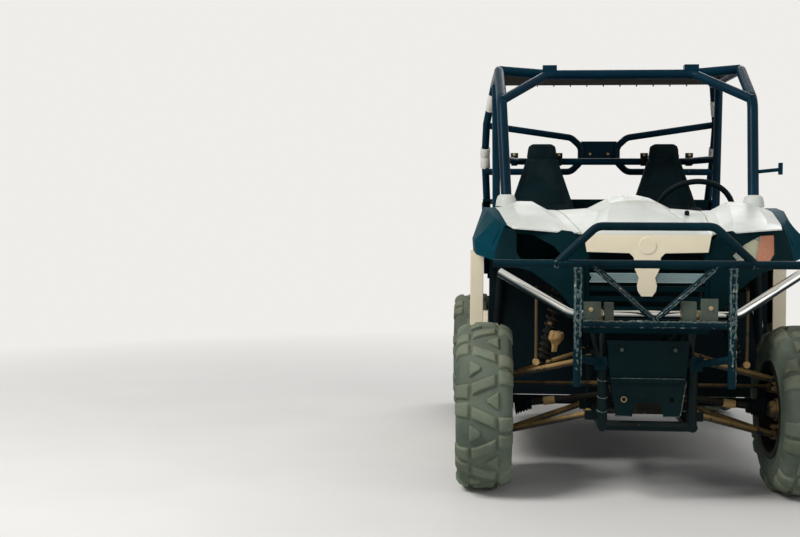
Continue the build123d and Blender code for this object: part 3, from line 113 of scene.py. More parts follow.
class Tree:
    """Short calls for a node tree."""

    def __init__(self, tree):
        self.tree = tree

    def feed(self, node, inputs):
        """Give inputs of a node a number, a colour or another node's output."""
        for key, value in inputs.items():
            if isinstance(value, bpy.types.NodeSocket):
                self.tree.links.new(value, node.inputs[key])
            elif isinstance(value, tuple):
                node.inputs[key].default_value = (*value, 1.0)
            else:
                node.inputs[key].default_value = value

    def new(self, kind, inputs, **settings):
        """Node with its settings and inputs."""
        node = self.tree.nodes.new(kind)
        for key, value in settings.items():
            setattr(node, key, value)
        self.feed(node, inputs)
        return node


class Surface(Tree):
    """Node tree of one material, with short calls for its usual nodes."""

    def __init__(self, name):
        self.material = bpy.data.materials.new(name)
        self.material.use_nodes = True
        super().__init__(self.material.node_tree)
        self.shader = self.tree.nodes["Principled BSDF"]
        self.place = self.new("ShaderNodeTexCoord", {}).outputs["Object"]

    def noise(self, scale, detail=4.0, rough=0.55):
        """Cloudy value fixed to the object."""
        inputs = {"Vector": self.place, "Scale": scale, "Detail": detail, "Roughness": rough}
        return self.new("ShaderNodeTexNoise", inputs).outputs["Fac"]

    def span(self, value, low, high, out_low=0.0, out_high=1.0):
        """Value carried from one range to another and held there."""
        inputs = {"Value": value, "From Min": low, "From Max": high, "To Min": out_low, "To Max": out_high}
        return self.new("ShaderNodeMapRange", inputs).outputs["Result"]

    def times(self, first, second):
        """Product of two values."""
        return self.new("ShaderNodeMath", {0: first, 1: second}, operation="MULTIPLY").outputs["Value"]

    def mix(self, factor, first, second):
        """Blend of two colours."""
        return self.new("ShaderNodeMix", {0: factor, 6: first, 7: second}, data_type="RGBA").outputs[2]

    def facing_up(self):
        """0 where the surface faces down and 1 where it faces up."""
        normal = self.new("ShaderNodeNewGeometry", {}).outputs["Normal"]
        parts = self.new("ShaderNodeSeparateXYZ", {"Vector": normal})
        return self.span(parts.outputs["Z"], -0.2, 1.0)

    def bump(self, height, strength, distance):
        """Normal of the surface raised by a height."""
        inputs = {"Height": height, "Strength": strength, "Distance": distance}
        return self.new("ShaderNodeBump", inputs).outputs["Normal"]


def shaded(colour, amount):
    """Colour made lighter or darker."""
    return tuple(min(1.0, part * amount) for part in colour)


def weathered(
    name,
    base,
    rough,
    metallic=0.0,
    drift=0.2,
    dust=0.3,
    dirt=DUST,
    chips=0.0,
    under=RUST,
    grain=220.0,
    bump=0.12,
    depth=0.001,
    coat=0.0,
    specular=0.5,
    lower_shade=0.0,
    patch=38.0,
):
    """Painted, moulded or bare surface: colour drift, dust on top, painted shade on what faces down, chips
    and fine grain.
    """
    n = Surface(name)
    slow = n.noise(3.5, 5.0)
    colour = n.mix(n.span(slow, 0.35, 0.65), shaded(base, 1 - drift), shaded(base, 1 + drift))
    if chips:
        spots = n.noise(patch, 6.0, 0.7)
        colour = n.mix(n.span(spots, 0.70 - chips * 0.2, 0.74 - chips * 0.2), colour, under)
    cloud = n.span(n.noise(9.0, 6.0, 0.65), 0.36, 0.66, 0.15, 1.0)
    layer = n.times(n.times(n.facing_up(), cloud), dust)
    colour = n.mix(layer, colour, dirt)
    film = n.times(n.span(n.noise(2.2, 3.0), 0.45, 0.75), dust * 0.12)
    colour = n.mix(film, colour, dirt)
    # Painted shade: faces turned downwards are darkened towards near-black
    if lower_shade:
        below = n.times(n.span(n.facing_up(), 0.42, 0.0), lower_shade)
        colour = n.mix(below, colour, LOWER_SHADE)
    n.feed(
        n.shader,
        {
            "Base Color": colour,
            "Roughness": n.span(cloud, 0.0, 1.0, rough - 0.06, min(1.0, rough + 0.22 * dust + 0.08)),
            "Metallic": metallic,
            "Coat Weight": coat,
            "Specular IOR Level": specular,
            "Normal": n.bump(n.noise(grain, 3.0), bump, depth),
        },
    )
    return n.material


def fabric(name, base):
    """Coated seat fabric: fine crossed weave, soft dust."""
    n = Surface(name)
    slow = n.noise(6.0, 5.0)
    colour = n.mix(n.span(slow, 0.35, 0.65), shaded(base, 0.75), shaded(base, 1.4))
    layer = n.times(n.times(n.facing_up(), n.span(n.noise(14.0, 5.0), 0.4, 0.65)), 0.04)
    weave = {"Vector": n.place, "Scale": 260.0, "Distortion": 0.6}
    across, up = [
        n.new("ShaderNodeTexWave", weave, bands_direction=axis).outputs["Fac"] for axis in ("X", "Z")
    ]
    n.feed(
        n.shader,
        {
            "Base Color": n.mix(layer, colour, DUST),
            "Roughness": 0.78,
            "Specular IOR Level": 0.08,
            "Sheen Weight": 0.04,
            "Normal": n.bump(n.times(across, up), 0.35, 0.0006),
        },
    )
    return n.material


def glassy(name, base, rough, transmission):
    """Clear or coloured lens with a dusty film."""
    n = Surface(name)
    film = n.span(n.noise(12.0, 3.0), 0.40, 0.75, 0.0, 0.22)
    n.feed(
        n.shader,
        {
            "Base Color": n.mix(film, base, DUST),
            "Roughness": n.span(n.noise(22.0, 4.0), 0.3, 0.7, rough, rough + 0.2),
            "Transmission Weight": transmission,
            "Specular IOR Level": 0.3,
            "IOR": 1.45,
        },
    )
    return n.material


MATERIALS = {
    # Body plastic, made darker and greener on the hood and fenders: a painted haze tint standing for the sky
    # light on their tops
    "white": weathered(
        "haze_tinted_white_plastic", (0.62, 0.64, 0.58), 0.40, drift=0.05, dust=0.18, dirt=(0.42, 0.38, 0.30),
        chips=0.04, under=(0.33, 0.28, 0.21), bump=0.05, coat=0.05, specular=0.3,
    ),
    # The same body plastic, made warmer and brighter for the nose and side panels: painted light, since the
    # forward-facing nose gets less of the key light
    "cream": weathered(
        "brightened_cream_plastic", (0.89, 0.79, 0.58), 0.42, drift=0.06, dust=0.22, dirt=(0.44, 0.36, 0.24),
        chips=0.05, under=(0.30, 0.23, 0.15), bump=0.05, coat=0.05, specular=0.3,
    ),
    "dark": weathered(
        "dark_moulding", (0.0010, 0.0135, 0.017), 0.5, drift=0.3, dust=0.05, dirt=(0.06, 0.09, 0.09),
        bump=0.2, specular=0.03,
    ),
    "skid": weathered(
        "skid_steel", (0.0008, 0.010, 0.012), 0.45, drift=0.35, dust=0.10, dirt=(0.10, 0.10, 0.07),
        chips=0.12, under=(0.05, 0.06, 0.05), grain=60.0, bump=0.3, specular=0.06, patch=26.0,
    ),
    "flare": weathered(
        "teal_moulding", (0.0014, 0.036, 0.052), 0.5, drift=0.25, dust=0.02, dirt=(0.06, 0.13, 0.15),
        bump=0.2, specular=0.015,
    ),
    "cage": weathered(
        "cage_paint", (0.0010, 0.018, 0.034), 0.30, drift=0.25, dust=0.03, dirt=(0.06, 0.10, 0.12),
        chips=0.05, under=(0.12, 0.12, 0.10), bump=0.06, specular=0.06,
    ),
    "frame": weathered(
        "frame_paint", (0.0012, 0.0065, 0.008), 0.5, drift=0.3, dust=0.14, dirt=(0.11, 0.09, 0.06),
        chips=0.12, under=(0.10, 0.07, 0.04), bump=0.15, specular=0.08,
    ),
    "guard": weathered(
        "guard_paint", (0.0014, 0.015, 0.022), 0.40, drift=0.35, dust=0.05, dirt=(0.08, 0.11, 0.11),
        chips=0.16, under=(0.10, 0.12, 0.11), grain=90.0, bump=0.6, depth=0.002, specular=0.05,
    ),
    "weld": weathered(
        "weld_scale", (0.05, 0.085, 0.085), 0.5, metallic=0.2, drift=0.7, dust=0.25, chips=0.45,
        under=(0.42, 0.42, 0.34), grain=120.0, bump=0.9, depth=0.003, specular=0.3,
    ),
    "plate": weathered(
        "worn_plate", (0.055, 0.075, 0.062), 0.55, metallic=0.2, drift=0.5, dust=0.35,
        dirt=(0.24, 0.20, 0.12), chips=0.3, under=(0.012, 0.03, 0.032), grain=70.0, bump=0.5,
        specular=0.15,
    ),
    # Bright plating, darkened towards near-black where it faces down: painted shade
    "bright": weathered(
        "bright_plating", (0.60, 0.60, 0.57), 0.12, metallic=1.0, drift=0.08, dust=0.16,
        dirt=(0.24, 0.18, 0.11), chips=0.05, under=(0.12, 0.09, 0.06), bump=0.03, lower_shade=1.0,
    ),
    # Carcass darker than the lugs: painted shade in the grooves between them, beside the lugs' own lighter
    # dust
    "tyre": weathered(
        "shaded_tyre_carcass", (0.098, 0.122, 0.094), 0.9, drift=0.35, dust=0.35, dirt=(0.24, 0.23, 0.16),
        chips=0.35, under=(0.16, 0.165, 0.115), grain=150.0, bump=0.5, specular=0.05, patch=16.0,
    ),
    "lug": weathered(
        "tyre_lug", (0.122, 0.146, 0.106), 0.9, drift=0.35, dust=0.5, dirt=(0.33, 0.31, 0.21), chips=0.35,
        under=(0.20, 0.20, 0.14), grain=130.0, bump=0.5, specular=0.06, patch=20.0,
    ),
    "rim": weathered(
        "rim_steel", (0.006, 0.010, 0.011), 0.5, metallic=0.3, drift=0.3, dust=0.3,
        dirt=(0.13, 0.11, 0.07), chips=0.1, under=(0.16, 0.11, 0.06), bump=0.15, specular=0.12,
    ),
    # Dusty steel, darkened towards near-black where it faces down: painted shade
    "arm": weathered(
        "dusty_steel", (0.21, 0.125, 0.042), 0.65, metallic=0.2, drift=0.7, dust=0.5,
        dirt=(0.50, 0.34, 0.15), chips=0.75, under=(0.010, 0.018, 0.017), grain=70.0, bump=0.8,
        specular=0.15, patch=17.0, lower_shade=0.8,
    ),
    "drive": weathered(
        "drive_metal", (0.008, 0.010, 0.009), 0.6, metallic=0.1, drift=0.4, dust=0.3,
        dirt=(0.16, 0.11, 0.05), chips=0.45, under=(0.22, 0.14, 0.055), grain=110.0, bump=0.4,
        specular=0.08, patch=20.0,
    ),
    "rubber": weathered(
        "boot_rubber", (0.0016, 0.005, 0.006), 0.6, drift=0.3, dust=0.08, dirt=(0.06, 0.06, 0.045),
        bump=0.2, specular=0.08,
    ),
    "tub": weathered(
        "tub_plastic", (0.0018, 0.008, 0.011), 0.55, drift=0.3, dust=0.16, dirt=(0.09, 0.08, 0.06),
        bump=0.3, specular=0.06,
    ),
    "engine": weathered(
        "cast_metal", (0.05, 0.05, 0.047), 0.6, metallic=0.5, drift=0.3, dust=0.4,
        dirt=(0.22, 0.17, 0.11), bump=0.4, specular=0.2,
    ),
    "muffler": weathered(
        "stained_steel", (0.26, 0.21, 0.16), 0.4, metallic=0.8, drift=0.35, dust=0.25,
        dirt=(0.24, 0.18, 0.11), chips=0.15, under=(0.12, 0.07, 0.03), bump=0.1,
    ),
    "roof": weathered(
        "roof_sheet", (0.022, 0.018, 0.012), 0.7, drift=0.3, dust=0.3, dirt=(0.20, 0.15, 0.10), bump=0.3,
        specular=0.05,
    ),
    # Pale tape; also the hood's fold bead, where it is a painted highlight
    "tape": weathered(
        "white_tape_and_crease_highlight", (0.70, 0.68, 0.61), 0.45, drift=0.08, dust=0.2, bump=0.15, specular=0.3,
    ),
    "bolt": weathered(
        "zinc_bolt", (0.38, 0.29, 0.15), 0.4, metallic=0.8, drift=0.3, dust=0.3, dirt=(0.30, 0.21, 0.11),
        chips=0.2, bump=0.1,
    ),
    "mesh": weathered(
        "light_mesh", (0.30, 0.42, 0.43), 0.45, metallic=0.2, drift=0.2, dust=0.2, bump=0.1, specular=0.3,
    ),
    "spring": weathered(
        "spring_paint", (0.0035, 0.007, 0.008), 0.5, drift=0.35, dust=0.25, dirt=(0.20, 0.13, 0.06),
        chips=0.25, under=(0.14, 0.09, 0.035), bump=0.2, specular=0.12,
    ),
    "caked": weathered(
        "caked_dust", (0.42, 0.26, 0.10), 0.75, drift=0.5, dust=0.5, dirt=(0.62, 0.46, 0.24), chips=0.35,
        under=(0.10, 0.06, 0.025), grain=60.0, bump=0.9, depth=0.004, specular=0.3,
    ),
    "reflector": weathered(
        "lamp_reflector", (0.55, 0.52, 0.34), 0.25, metallic=0.7, drift=0.2, dust=0.2, bump=0.03,
    ),
    "amber": glassy("amber_lens", (0.62, 0.22, 0.10), 0.2, 0.25),
    "lens": glassy("clear_lens", (0.80, 0.84, 0.66), 0.08, 0.85),
    "red": glassy("red_lens", (0.42, 0.02, 0.015), 0.15, 0.15),
    "seat": fabric("seat_fabric", (0.0016, 0.011, 0.014)),
}

# Look of every CAD node
NODE_LOOKS = {
    "frame": ("frame_front", "frame_main", "frame_rear", "rear_bumper", "steering_gear"),
    "cage": ("cage_sides", "cage_cross", "rear_cage"),
    "roof": ("roof_panel",),
    "white": ("hood", "front_fenders", "rear_fenders"),
    "cream": ("nose_panel", "side_panels"),
    "dark": ("grille", "fascia", "cargo_bed"),
    "flare": ("fender_flares",),
    "tub": ("floor_tub", "dashboard", "steering_wheel"),
    "seat": ("seat_cushions", "seat_backs"),
    "engine": ("engine_block",),
    "muffler": ("muffler",),
    "lens": ("lamp_lens",),
    "red": ("tail_lamps",),
    "guard": ("brush_guard",),
    "bright": ("chrome_bumper",),
    "skid": ("skid_plate",),
    "drive": ("sway_bar", "driveline_front", "driveline_rear"),
    "arm": ("arms_front", "arms_rear", "hub_carriers", "tie_rods", "knuckle_left", "knuckle_right"),
    "spring": ("shocks_front", "shocks_rear"),
    "tyre": ("tyre_front_left", "tyre_front_right", "tyre_rear_left", "tyre_rear_right"),
    "rim": ("rim_front_left", "rim_front_right", "rim_rear_left", "rim_rear_right"),
}

# Nodes shown with softened edges. Columns: node, look, edge radius, least edge angle in degrees
SOFTENED = (
    ("hood", "white", 0.004, 7.0),
    ("front_fenders", "white", 0.004, 9.0),
    ("nose_panel", "cream", 0.0022, 24.0),
    ("fascia", "dark", 0.002, 18.0),
    ("fender_flares", "flare", 0.003, 9.0),
    ("side_panels", "cream", 0.004, 20.0),
    ("rear_fenders", "white", 0.003, 20.0),
    ("dashboard", "tub", 0.003, 24.0),
    ("cargo_bed", "dark", 0.004, 24.0),
    ("skid_plate", "skid", 0.0015, 24.0),
)


def paint(obj, look):
    """Give every material slot of an object one material."""
    if not obj.material_slots:
        obj.data.materials.append(MATERIALS[look])
    for held in obj.material_slots:
        held.link = "OBJECT"
        held.material = MATERIALS[look]


def add_look(obj, look):
    """One more material slot, held by the object."""
    obj.data.materials.append(MATERIALS[look])
    held = obj.material_slots[len(obj.material_slots) - 1]
    held.link = "OBJECT"
    held.material = MATERIALS[look]


# Mesh helpers


def mm(x, y, z):
    """Point given in millimetres."""
    return Vector((x, y, z)) / 1000


def add_object(name, data):
    """Object linked into the scene."""
    obj = bpy.data.objects.new(name, data)
    bpy.context.scene.collection.objects.link(obj)
    return obj


def mesh_from(name, bm):
    """Mesh that takes over a bmesh."""
    mesh = bpy.data.meshes.new(name)
    bm.to_mesh(mesh)
    bm.free()
    return mesh


def mesh_object(name, bm, look, body, sharp=35.0):
    """Object from a bmesh, smooth up to an edge angle, painted and riding on a body."""
    bmesh.ops.recalc_face_normals(bm, faces=bm.faces)
    limit = math.radians(sharp)
    for face in bm.faces:
        face.smooth = True
    for edge in bm.edges:
        if len(edge.link_faces) == 2 and edge.calc_face_angle(0.0) > limit:
            edge.smooth = False
    obj = add_object(name, mesh_from(name, bm))
    paint(obj, look)
    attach(obj, body)
    return obj


def chassis_piece(name, bm, look, sharp=35.0):
    """Object on the chassis, painted with a look."""
    obj = mesh_object(name, bm, look, "chassis", sharp)
    return obj


def frame_of(axis):
    """Two directions square to an axis."""
    along = Vector(axis).normalized()
    side = along.orthogonal().normalized()
    return along, side, along.cross(side)


def spokes(side, third, count):
    """Directions all round, from side towards third."""
    turns = [2 * math.pi * index / count for index in range(count)]
    return [side * math.cos(turn) + third * math.sin(turn) for turn in turns]


def skin_rings(bm, rings):
    """Faces between closed rings of points."""
    count = len(rings[0])
    for low, high in zip(rings, rings[1:]):
        for index in range(count):
            after = (index + 1) % count
            bm.faces.new((low[index], low[after], high[after], high[index]))


def close_rings(bm, rings):
    """Faces between closed rings of points, and a cap at each end."""
    skin_rings(bm, rings)
    bm.faces.new(rings[0][::-1])
    bm.faces.new(rings[-1])


def lathe(bm, origin, axis, profile, segments=24):
    """Turned form: profile is (distance along the axis, radius)."""
    along, side, third = frame_of(axis)
    around = spokes(side, third, segments)
    rings = []
    for distance, radius in profile:
        rings.append([bm.verts.new(Vector(origin) + along * distance + out * radius) for out in around])
    close_rings(bm, rings)


def hexagon(bm, origin, axis, radius, height):
    """Bolt head with a washer under it and a chamfered top."""
    washer = [(0, radius * 1.35), (height * 0.25, radius * 1.35), (height * 0.3, radius * 1.2)]
    lathe(bm, origin, axis, washer, 16)
    start = Vector(origin) + Vector(axis).normalized() * height * 0.3
    lathe(bm, start, axis, [(0, radius), (height * 0.55, radius), (height * 0.7, radius * 0.82)], 6)


def slab(bm, centre, size, chamfer=0.002):
    """Block with chamfered edges."""
    verts = bmesh.ops.create_cube(bm, size=1.0)["verts"]
    bmesh.ops.scale(bm, vec=size, verts=verts)
    edges = {edge for vert in verts for edge in vert.link_edges}
    grown = bmesh.ops.bevel(
        bm, geom=list(edges), offset=chamfer, segments=2, affect="EDGES", profile=0.5, clamp_overlap=True
    )
    verts = list({v for face in grown["faces"] for v in face.verts} | {v for v in verts if v.is_valid})
    bmesh.ops.translate(bm, vec=centre, verts=verts)


def pipe(bm, points, radius, segments=12):
    """Round bar along points."""
    route = [Vector(p) for p in points]
    _, side, _ = frame_of(route[1] - route[0])
    rings = []
    for index, point in enumerate(route):
        ahead = route[min(index + 1, len(route) - 1)]
        behind = route[max(index - 1, 0)]
        along = (ahead - behind).normalized()
        side = (side - along * side.dot(along)).normalized()
        around = spokes(side, along.cross(side), segments)
        rings.append([bm.verts.new(point + out * radius) for out in around])
    close_rings(bm, rings)


def ring_points(centre, axis, radius, count=24):
    """Closed circle of points."""
    _, side, third = frame_of(axis)
    turns = [2 * math.pi * index / count for index in range(count + 1)]
    return [Vector(centre) + side * radius * math.cos(t) + third * radius * math.sin(t) for t in turns]


def mirror_copy(bm):
    """The same mesh with its mirror image added."""
    made = bmesh.ops.duplicate(bm, geom=bm.verts[:] + bm.edges[:] + bm.faces[:])
    verts = [item for item in made["geom"] if isinstance(item, bmesh.types.BMVert)]
    bmesh.ops.scale(bm, vec=(-1, 1, 1), verts=verts)
    return bm


def soften_edges(bm, width, angle):
    """Bevel the edges that turn by more than an angle in degrees."""
    bmesh.ops.remove_doubles(bm, verts=bm.verts, dist=SAME_POINT)
    bmesh.ops.dissolve_limit(bm, angle_limit=math.radians(0.6), verts=bm.verts, edges=bm.edges)
    limit = math.radians(angle)
    edges = [e for e in bm.edges if len(e.link_faces) == 2 and e.calc_face_angle(0.0) > limit]
    bmesh.ops.bevel(
        bm, geom=edges, offset=width, segments=2, affect="EDGES", profile=0.6, clamp_overlap=True
    )
    bmesh.ops.triangulate(bm, faces=bm.faces)


def own_form(node, look, width=0.0, angle=24.0, part_look=None, part_test=None, reshape=None):
    """The CAD node's own form with its edges softened, standing for the node.

    Faces whose centre in millimetres passes part_test are painted with part_look.
    """
    bm = bmesh.new()
    bm.from_mesh(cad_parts[node].data)
    if width:
        soften_edges(bm, width, angle)
    if reshape:
        reshape(bm)
    if part_test:
        for face in bm.faces:
            if part_test(face.calc_center_median() * 1000):
                face.material_index = 1
    obj = mesh_object(f"{node}_skin", bm, look, "chassis", sharp=32.0)
    if part_look:
        add_look(obj, part_look)
    if width:
        facets = obj.modifiers.new("facets", "WEIGHTED_NORMAL")
        facets.keep_sharp = True
        facets.weight = 100
    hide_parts(node)


# Tyres and rims, in millimetres and degrees

# Outer line of the carcass: inset from the half width, radius
CARCASS = ((17, 179), (7, 197), (2.5, 225), (3, 255), (9, 283), (21, 303), (54, 314))
CROWN_RADIUS = 318.0
TREAD_RADIUS = 329.7
WALL_RIBS = (206.0, 216.0)
AROUND = 120
CELLS = 16
CELL = 360 / CELLS
FIRST_CELL = 90.0
BAR_REACH = 40.0
BAR_LEAN = 3.0
BAR_HALF = 3.5
BAR_HEIGHT = 12.0
BLOCK_HEIGHT = 11.0
SHOULDER_SHIFT = 5.0
SHOULDER_HALF = 4.6
LUG_GRID = 4
LUG_FOOT = -1.0
LUG_TOP = 0.84
# Columns: axle, centre x and axle y in metres, tyre width, disc face from the centre
WHEELS = (
    ("front", 0.6055, FRONT_AXLE_Y, 219.0, 45.0),
    ("rear", 0.655, REAR_AXLE_Y, 264.0, 30.0),
)


def smooth_line(points, steps):
    """Curve through points, given as a list of pairs."""
    line = []
    for index in range(len(points) - 1):
        p0 = points[max(index - 1, 0)]
        p1, p2 = points[index], points[index + 1]
        p3 = points[min(index + 2, len(points) - 1)]
        for step in range(steps):
            t = step / steps
            pair = []
            for a, b, c, d in zip(p0, p1, p2, p3):
                value = 2 * b + (c - a) * t + (2 * a - 5 * b + 4 * c - d) * t * t
                pair.append((value + (3 * b - a - 3 * c + d) * t**3) / 2)
            line.append(tuple(pair))
    return line + [tuple(points[-1])]


class Profile:
    """Outer line of a tyre from one bead to the other, measured along its length."""

    def __init__(self, width):
        self.half = width / 2
        side = [(self.half - inset, radius) for inset, radius in CARCASS]
        whole = [(-x, r) for x, r in side] + [(0, CROWN_RADIUS)] + side[::-1]
        self.line = smooth_line(whole, 4)
        self.lengths = [0.0]
        for a, b in zip(self.line, self.line[1:]):
            self.lengths.append(self.lengths[-1] + math.dist(a, b))
        self.middle = self.lengths[-1] / 2

    def at(self, along):
        """x, radius and outward direction at a length from the crown's middle."""
        want = min(max(along + self.middle, 0.0), self.lengths[-1] - 1e-6)
        index = max(i for i, length in enumerate(self.lengths[:-1]) if length <= want)
        share = (want - self.lengths[index]) / (self.lengths[index + 1] - self.lengths[index])
        (x0, r0), (x1, r1) = self.line[index], self.line[index + 1]
        dx, dr = x1 - x0, r1 - r0
        size = math.hypot(dx, dr)
        return x0 + dx * share, r0 + dr * share, -dr / size, dx / size

    def point(self, angle, along, height):
        """Point over the carcass, kept inside the tyre's full size."""
        x, radius, out_x, out_r = self.at(along)
        x = max(-self.half + 0.2, min(self.half - 0.2, x + out_x * height))
        radius = min(TREAD_RADIUS, radius + out_r * height)
        turn = math.radians(angle)
        return mm(x, radius * math.cos(turn), radius * math.sin(turn))


def grid_edge():
    """Steps round the edge of a lug's square grid."""
    steps = range(LUG_GRID)
    edge = [(step, 0) for step in steps]
    edge += [(LUG_GRID, step) for step in steps]
    edge += [(LUG_GRID - step, LUG_GRID) for step in steps]
    return edge + [(0, LUG_GRID - step) for step in steps]


def lug(bm, profile, corners, height):
    """Rubber block over a four-cornered patch; corners are (angle, length along the profile)."""
    middle = [sum(c[i] for c in corners) / 4 for i in (0, 1)]

    def spot(column, row, shrink, lift):
        u, v = column / LUG_GRID, row / LUG_GRID
        (a0, t0), (a1, t1), (a2, t2), (a3, t3) = corners
        angle = (a0 * (1 - u) + a1 * u) * (1 - v) + (a3 * (1 - u) + a2 * u) * v
        along = (t0 * (1 - u) + t1 * u) * (1 - v) + (t3 * (1 - u) + t2 * u) * v
        angle = middle[0] + (angle - middle[0]) * shrink
        along = middle[1] + (along - middle[1]) * shrink
        return bm.verts.new(profile.point(angle, along, lift))

    edge = grid_edge()
    rings = []
    for shrink, lift in ((1.20, LUG_FOOT), (1.09, height * 0.3), (1.02, height * 0.65), (0.95, height * 0.9)):
        rings.append([spot(column, row, shrink, lift) for column, row in edge])
    steps = range(LUG_GRID + 1)
    top = [[spot(column, row, LUG_TOP, height) for column in steps] for row in steps]
    rings.append([top[row][column] for column, row in edge])
    skin_rings(bm, rings)
    for low, high in zip(top, top[1:]):
        for column in range(LUG_GRID):
            bm.faces.new((low[column], low[column + 1], high[column + 1], high[column]))


def carcass(bm, profile):
    """Smooth body of a tyre about the X axis, with two thin ribs on each wall."""
    rings = []
    for index in range(AROUND):
        turn = 2 * math.pi * index / AROUND
        ring = []
        for x, radius in profile.line:
            ring.append(bm.verts.new(mm(x, radius * math.cos(turn), radius * math.sin(turn))))
        rings.append(ring)
    for index in range(AROUND):
        low, high = rings[index], rings[(index + 1) % AROUND]
        for place in range(len(profile.line) - 1):
            bm.faces.new((low[place], low[place + 1], high[place + 1], high[place]))
    for radius in WALL_RIBS:
        for side in (1, -1):
            along = side * (profile.middle - (radius - CARCASS[0][1]) * 1.06)
            pipe(bm, [profile.point(angle, along, 1.0) for angle in range(0, 361, 5)], 0.0016, 6)


def tread_cell(bm, profile, cell):
    """Leaning bar, wedge and two shoulder blocks."""
    start = FIRST_CELL + cell * CELL
    lean = 1 if cell % 2 else -1
    low, high = start - BAR_LEAN * lean, start + BAR_LEAN * lean
    bar = [
        (low - BAR_HALF, -BAR_REACH),
        (low + BAR_HALF, -BAR_REACH),
        (high + BAR_HALF, BAR_REACH),
        (high - BAR_HALF, BAR_REACH),
    ]
    lug(bm, profile, bar, BAR_HEIGHT)
    near, far = 14.0 * -lean, (BAR_REACH + 12.0) * -lean
    middle = start + CELL / 2
    wedge = [(middle - 1.0, near), (middle + 1.0, near), (middle + 5.6, far), (middle - 5.6, far)]
    lug(bm, profile, wedge, BLOCK_HEIGHT)
    for side in (1, -1):
        middle = start + SHOULDER_SHIFT * lean * side
        inner, outer = side * (profile.half - 50), side * (profile.half + 17)
        block = [
            (middle - SHOULDER_HALF, inner),
            (middle + SHOULDER_HALF, inner),
            (middle + SHOULDER_HALF * 0.9, outer),
            (middle - SHOULDER_HALF * 0.9, outer),
        ]
        lug(bm, profile, block, BLOCK_HEIGHT)


def tyre_mesh(width):
    """Carcass and lugs of one tyre about the X axis; lug faces use the second material."""
    profile = Profile(width)
    bm = bmesh.new()
    carcass(bm, profile)
    carcass_faces = len(bm.faces)
    for cell in range(CELLS):
        tread_cell(bm, profile, cell)
    bm.faces.ensure_lookup_table()
    for face in bm.faces[carcass_faces:]:
        face.material_index = 1
    return bm


def place_wheel_mesh(bm, x, y, side):
    """Move a mesh drawn for the left side about the origin to its wheel."""
    if side < 0:
        bmesh.ops.scale(bm, vec=(-1, 1, 1), verts=bm.verts)
    bmesh.ops.translate(bm, vec=(x * side, y, AXLE_Z), verts=bm.verts)


def wheel_hardware(disc_x):
    """Lug nuts and hub cap on a left rim about the origin."""
    bm = bmesh.new()
    face = disc_x / 1000
    for index in range(4):
        turn = math.pi / 4 + index * math.pi / 2
        origin = (face - 0.0005, 0.046 * math.cos(turn), 0.046 * math.sin(turn))
        hexagon(bm, origin, (1, 0, 0), 0.0095, 0.017)
    cap = [(0, 0.027), (0.006, 0.027), (0.009, 0.024), (0.013, 0.014), (0.0145, 0.004)]
    lathe(bm, (face - 0.001, 0, 0), (1, 0, 0), cap, 24)
    return bm


def make_wheels():
    """Tyres and rim hardware on all four wheel bodies."""
    for axle, x, y, width, disc in WHEELS:
        for name, side in SIDES:
            body = f"wheel_{axle}_{name}"
            bm = tyre_mesh(width)
            place_wheel_mesh(bm, x, y, side)
            tyre = mesh_object(f"tread_{axle}_{name}", bm, "tyre", body, sharp=75.0)
            add_look(tyre, "lug")
            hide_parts(f"tyre_{axle}_{name}")
            bm = wheel_hardware(disc)
            place_wheel_mesh(bm, x, y, side)
            mesh_object(f"hub_nuts_{axle}_{name}", bm, "bolt", body)


# Springs and boots, in millimetres
ARM_INNER_X = 211.0
ARM_JOINT_Z = 447.0
SHOCK_PIN_X = 378.0
# Columns: axle, arm's inner height, axle y in metres, joint x, upper eye x and z, turns
SHOCKS = (
    ("front", 533.0, FRONT_AXLE_Y, 526.0, 302.0, 848.0, 11),
    ("rear", 505.0, REAR_AXLE_Y, 540.0, 340.0, 730.0, 8),
)
# Columns: axle y in metres, outer boot's outer end x
SHAFTS = ((FRONT_AXLE_Y, 486.0), (REAR_AXLE_Y, 539.0))


def lower_eye(arm_top, axle_y, joint_x):
    """Shock pin on the upper arm's line."""
    share = (SHOCK_PIN_X - ARM_INNER_X) / (joint_x - 6.0 - ARM_INNER_X)
    return mm(SHOCK_PIN_X, axle_y * 1000, arm_top + (ARM_JOINT_Z - arm_top) * share)


def shock_mesh(low, high):
    """Damper, spring seats and eyes between two eye centres."""
    bm = bmesh.new()
    axis = high - low
    length = axis.length
    body = [
        (0.012, 0.010),
        (0.030, 0.011),
        (0.034, 0.029),
        (0.041, 0.030),
        (0.043, 0.020),
        (length * 0.52, 0.020),
        (length * 0.53, 0.017),
        (length * 0.545, 0.0065),
        (length - 0.045, 0.0065),
        (length - 0.043, 0.012),
        (length - 0.032, 0.030),
        (length - 0.025, 0.030),
        (length - 0.022, 0.014),
        (length - 0.012, 0.011),
    ]
    lathe(bm, low, axis, body, 24)
    for centre in (low, high):
        eye = [(-0.0145, 0.011), (-0.0145, 0.0165), (0.0145, 0.0165), (0.0145, 0.011)]
        lathe(bm, centre, (0, 1, 0), eye, 20)
        hexagon(bm, centre + Vector((0, -0.0235, 0)), (0, -1, 0), 0.0085, 0.010)
    return bm


# Metres: coil's middle radius, wire radius, and its ends from the two eyes
COIL_RADIUS = 0.0245
COIL_WIRE = 0.0048
COIL_LOW = 0.042
COIL_HIGH = 0.034


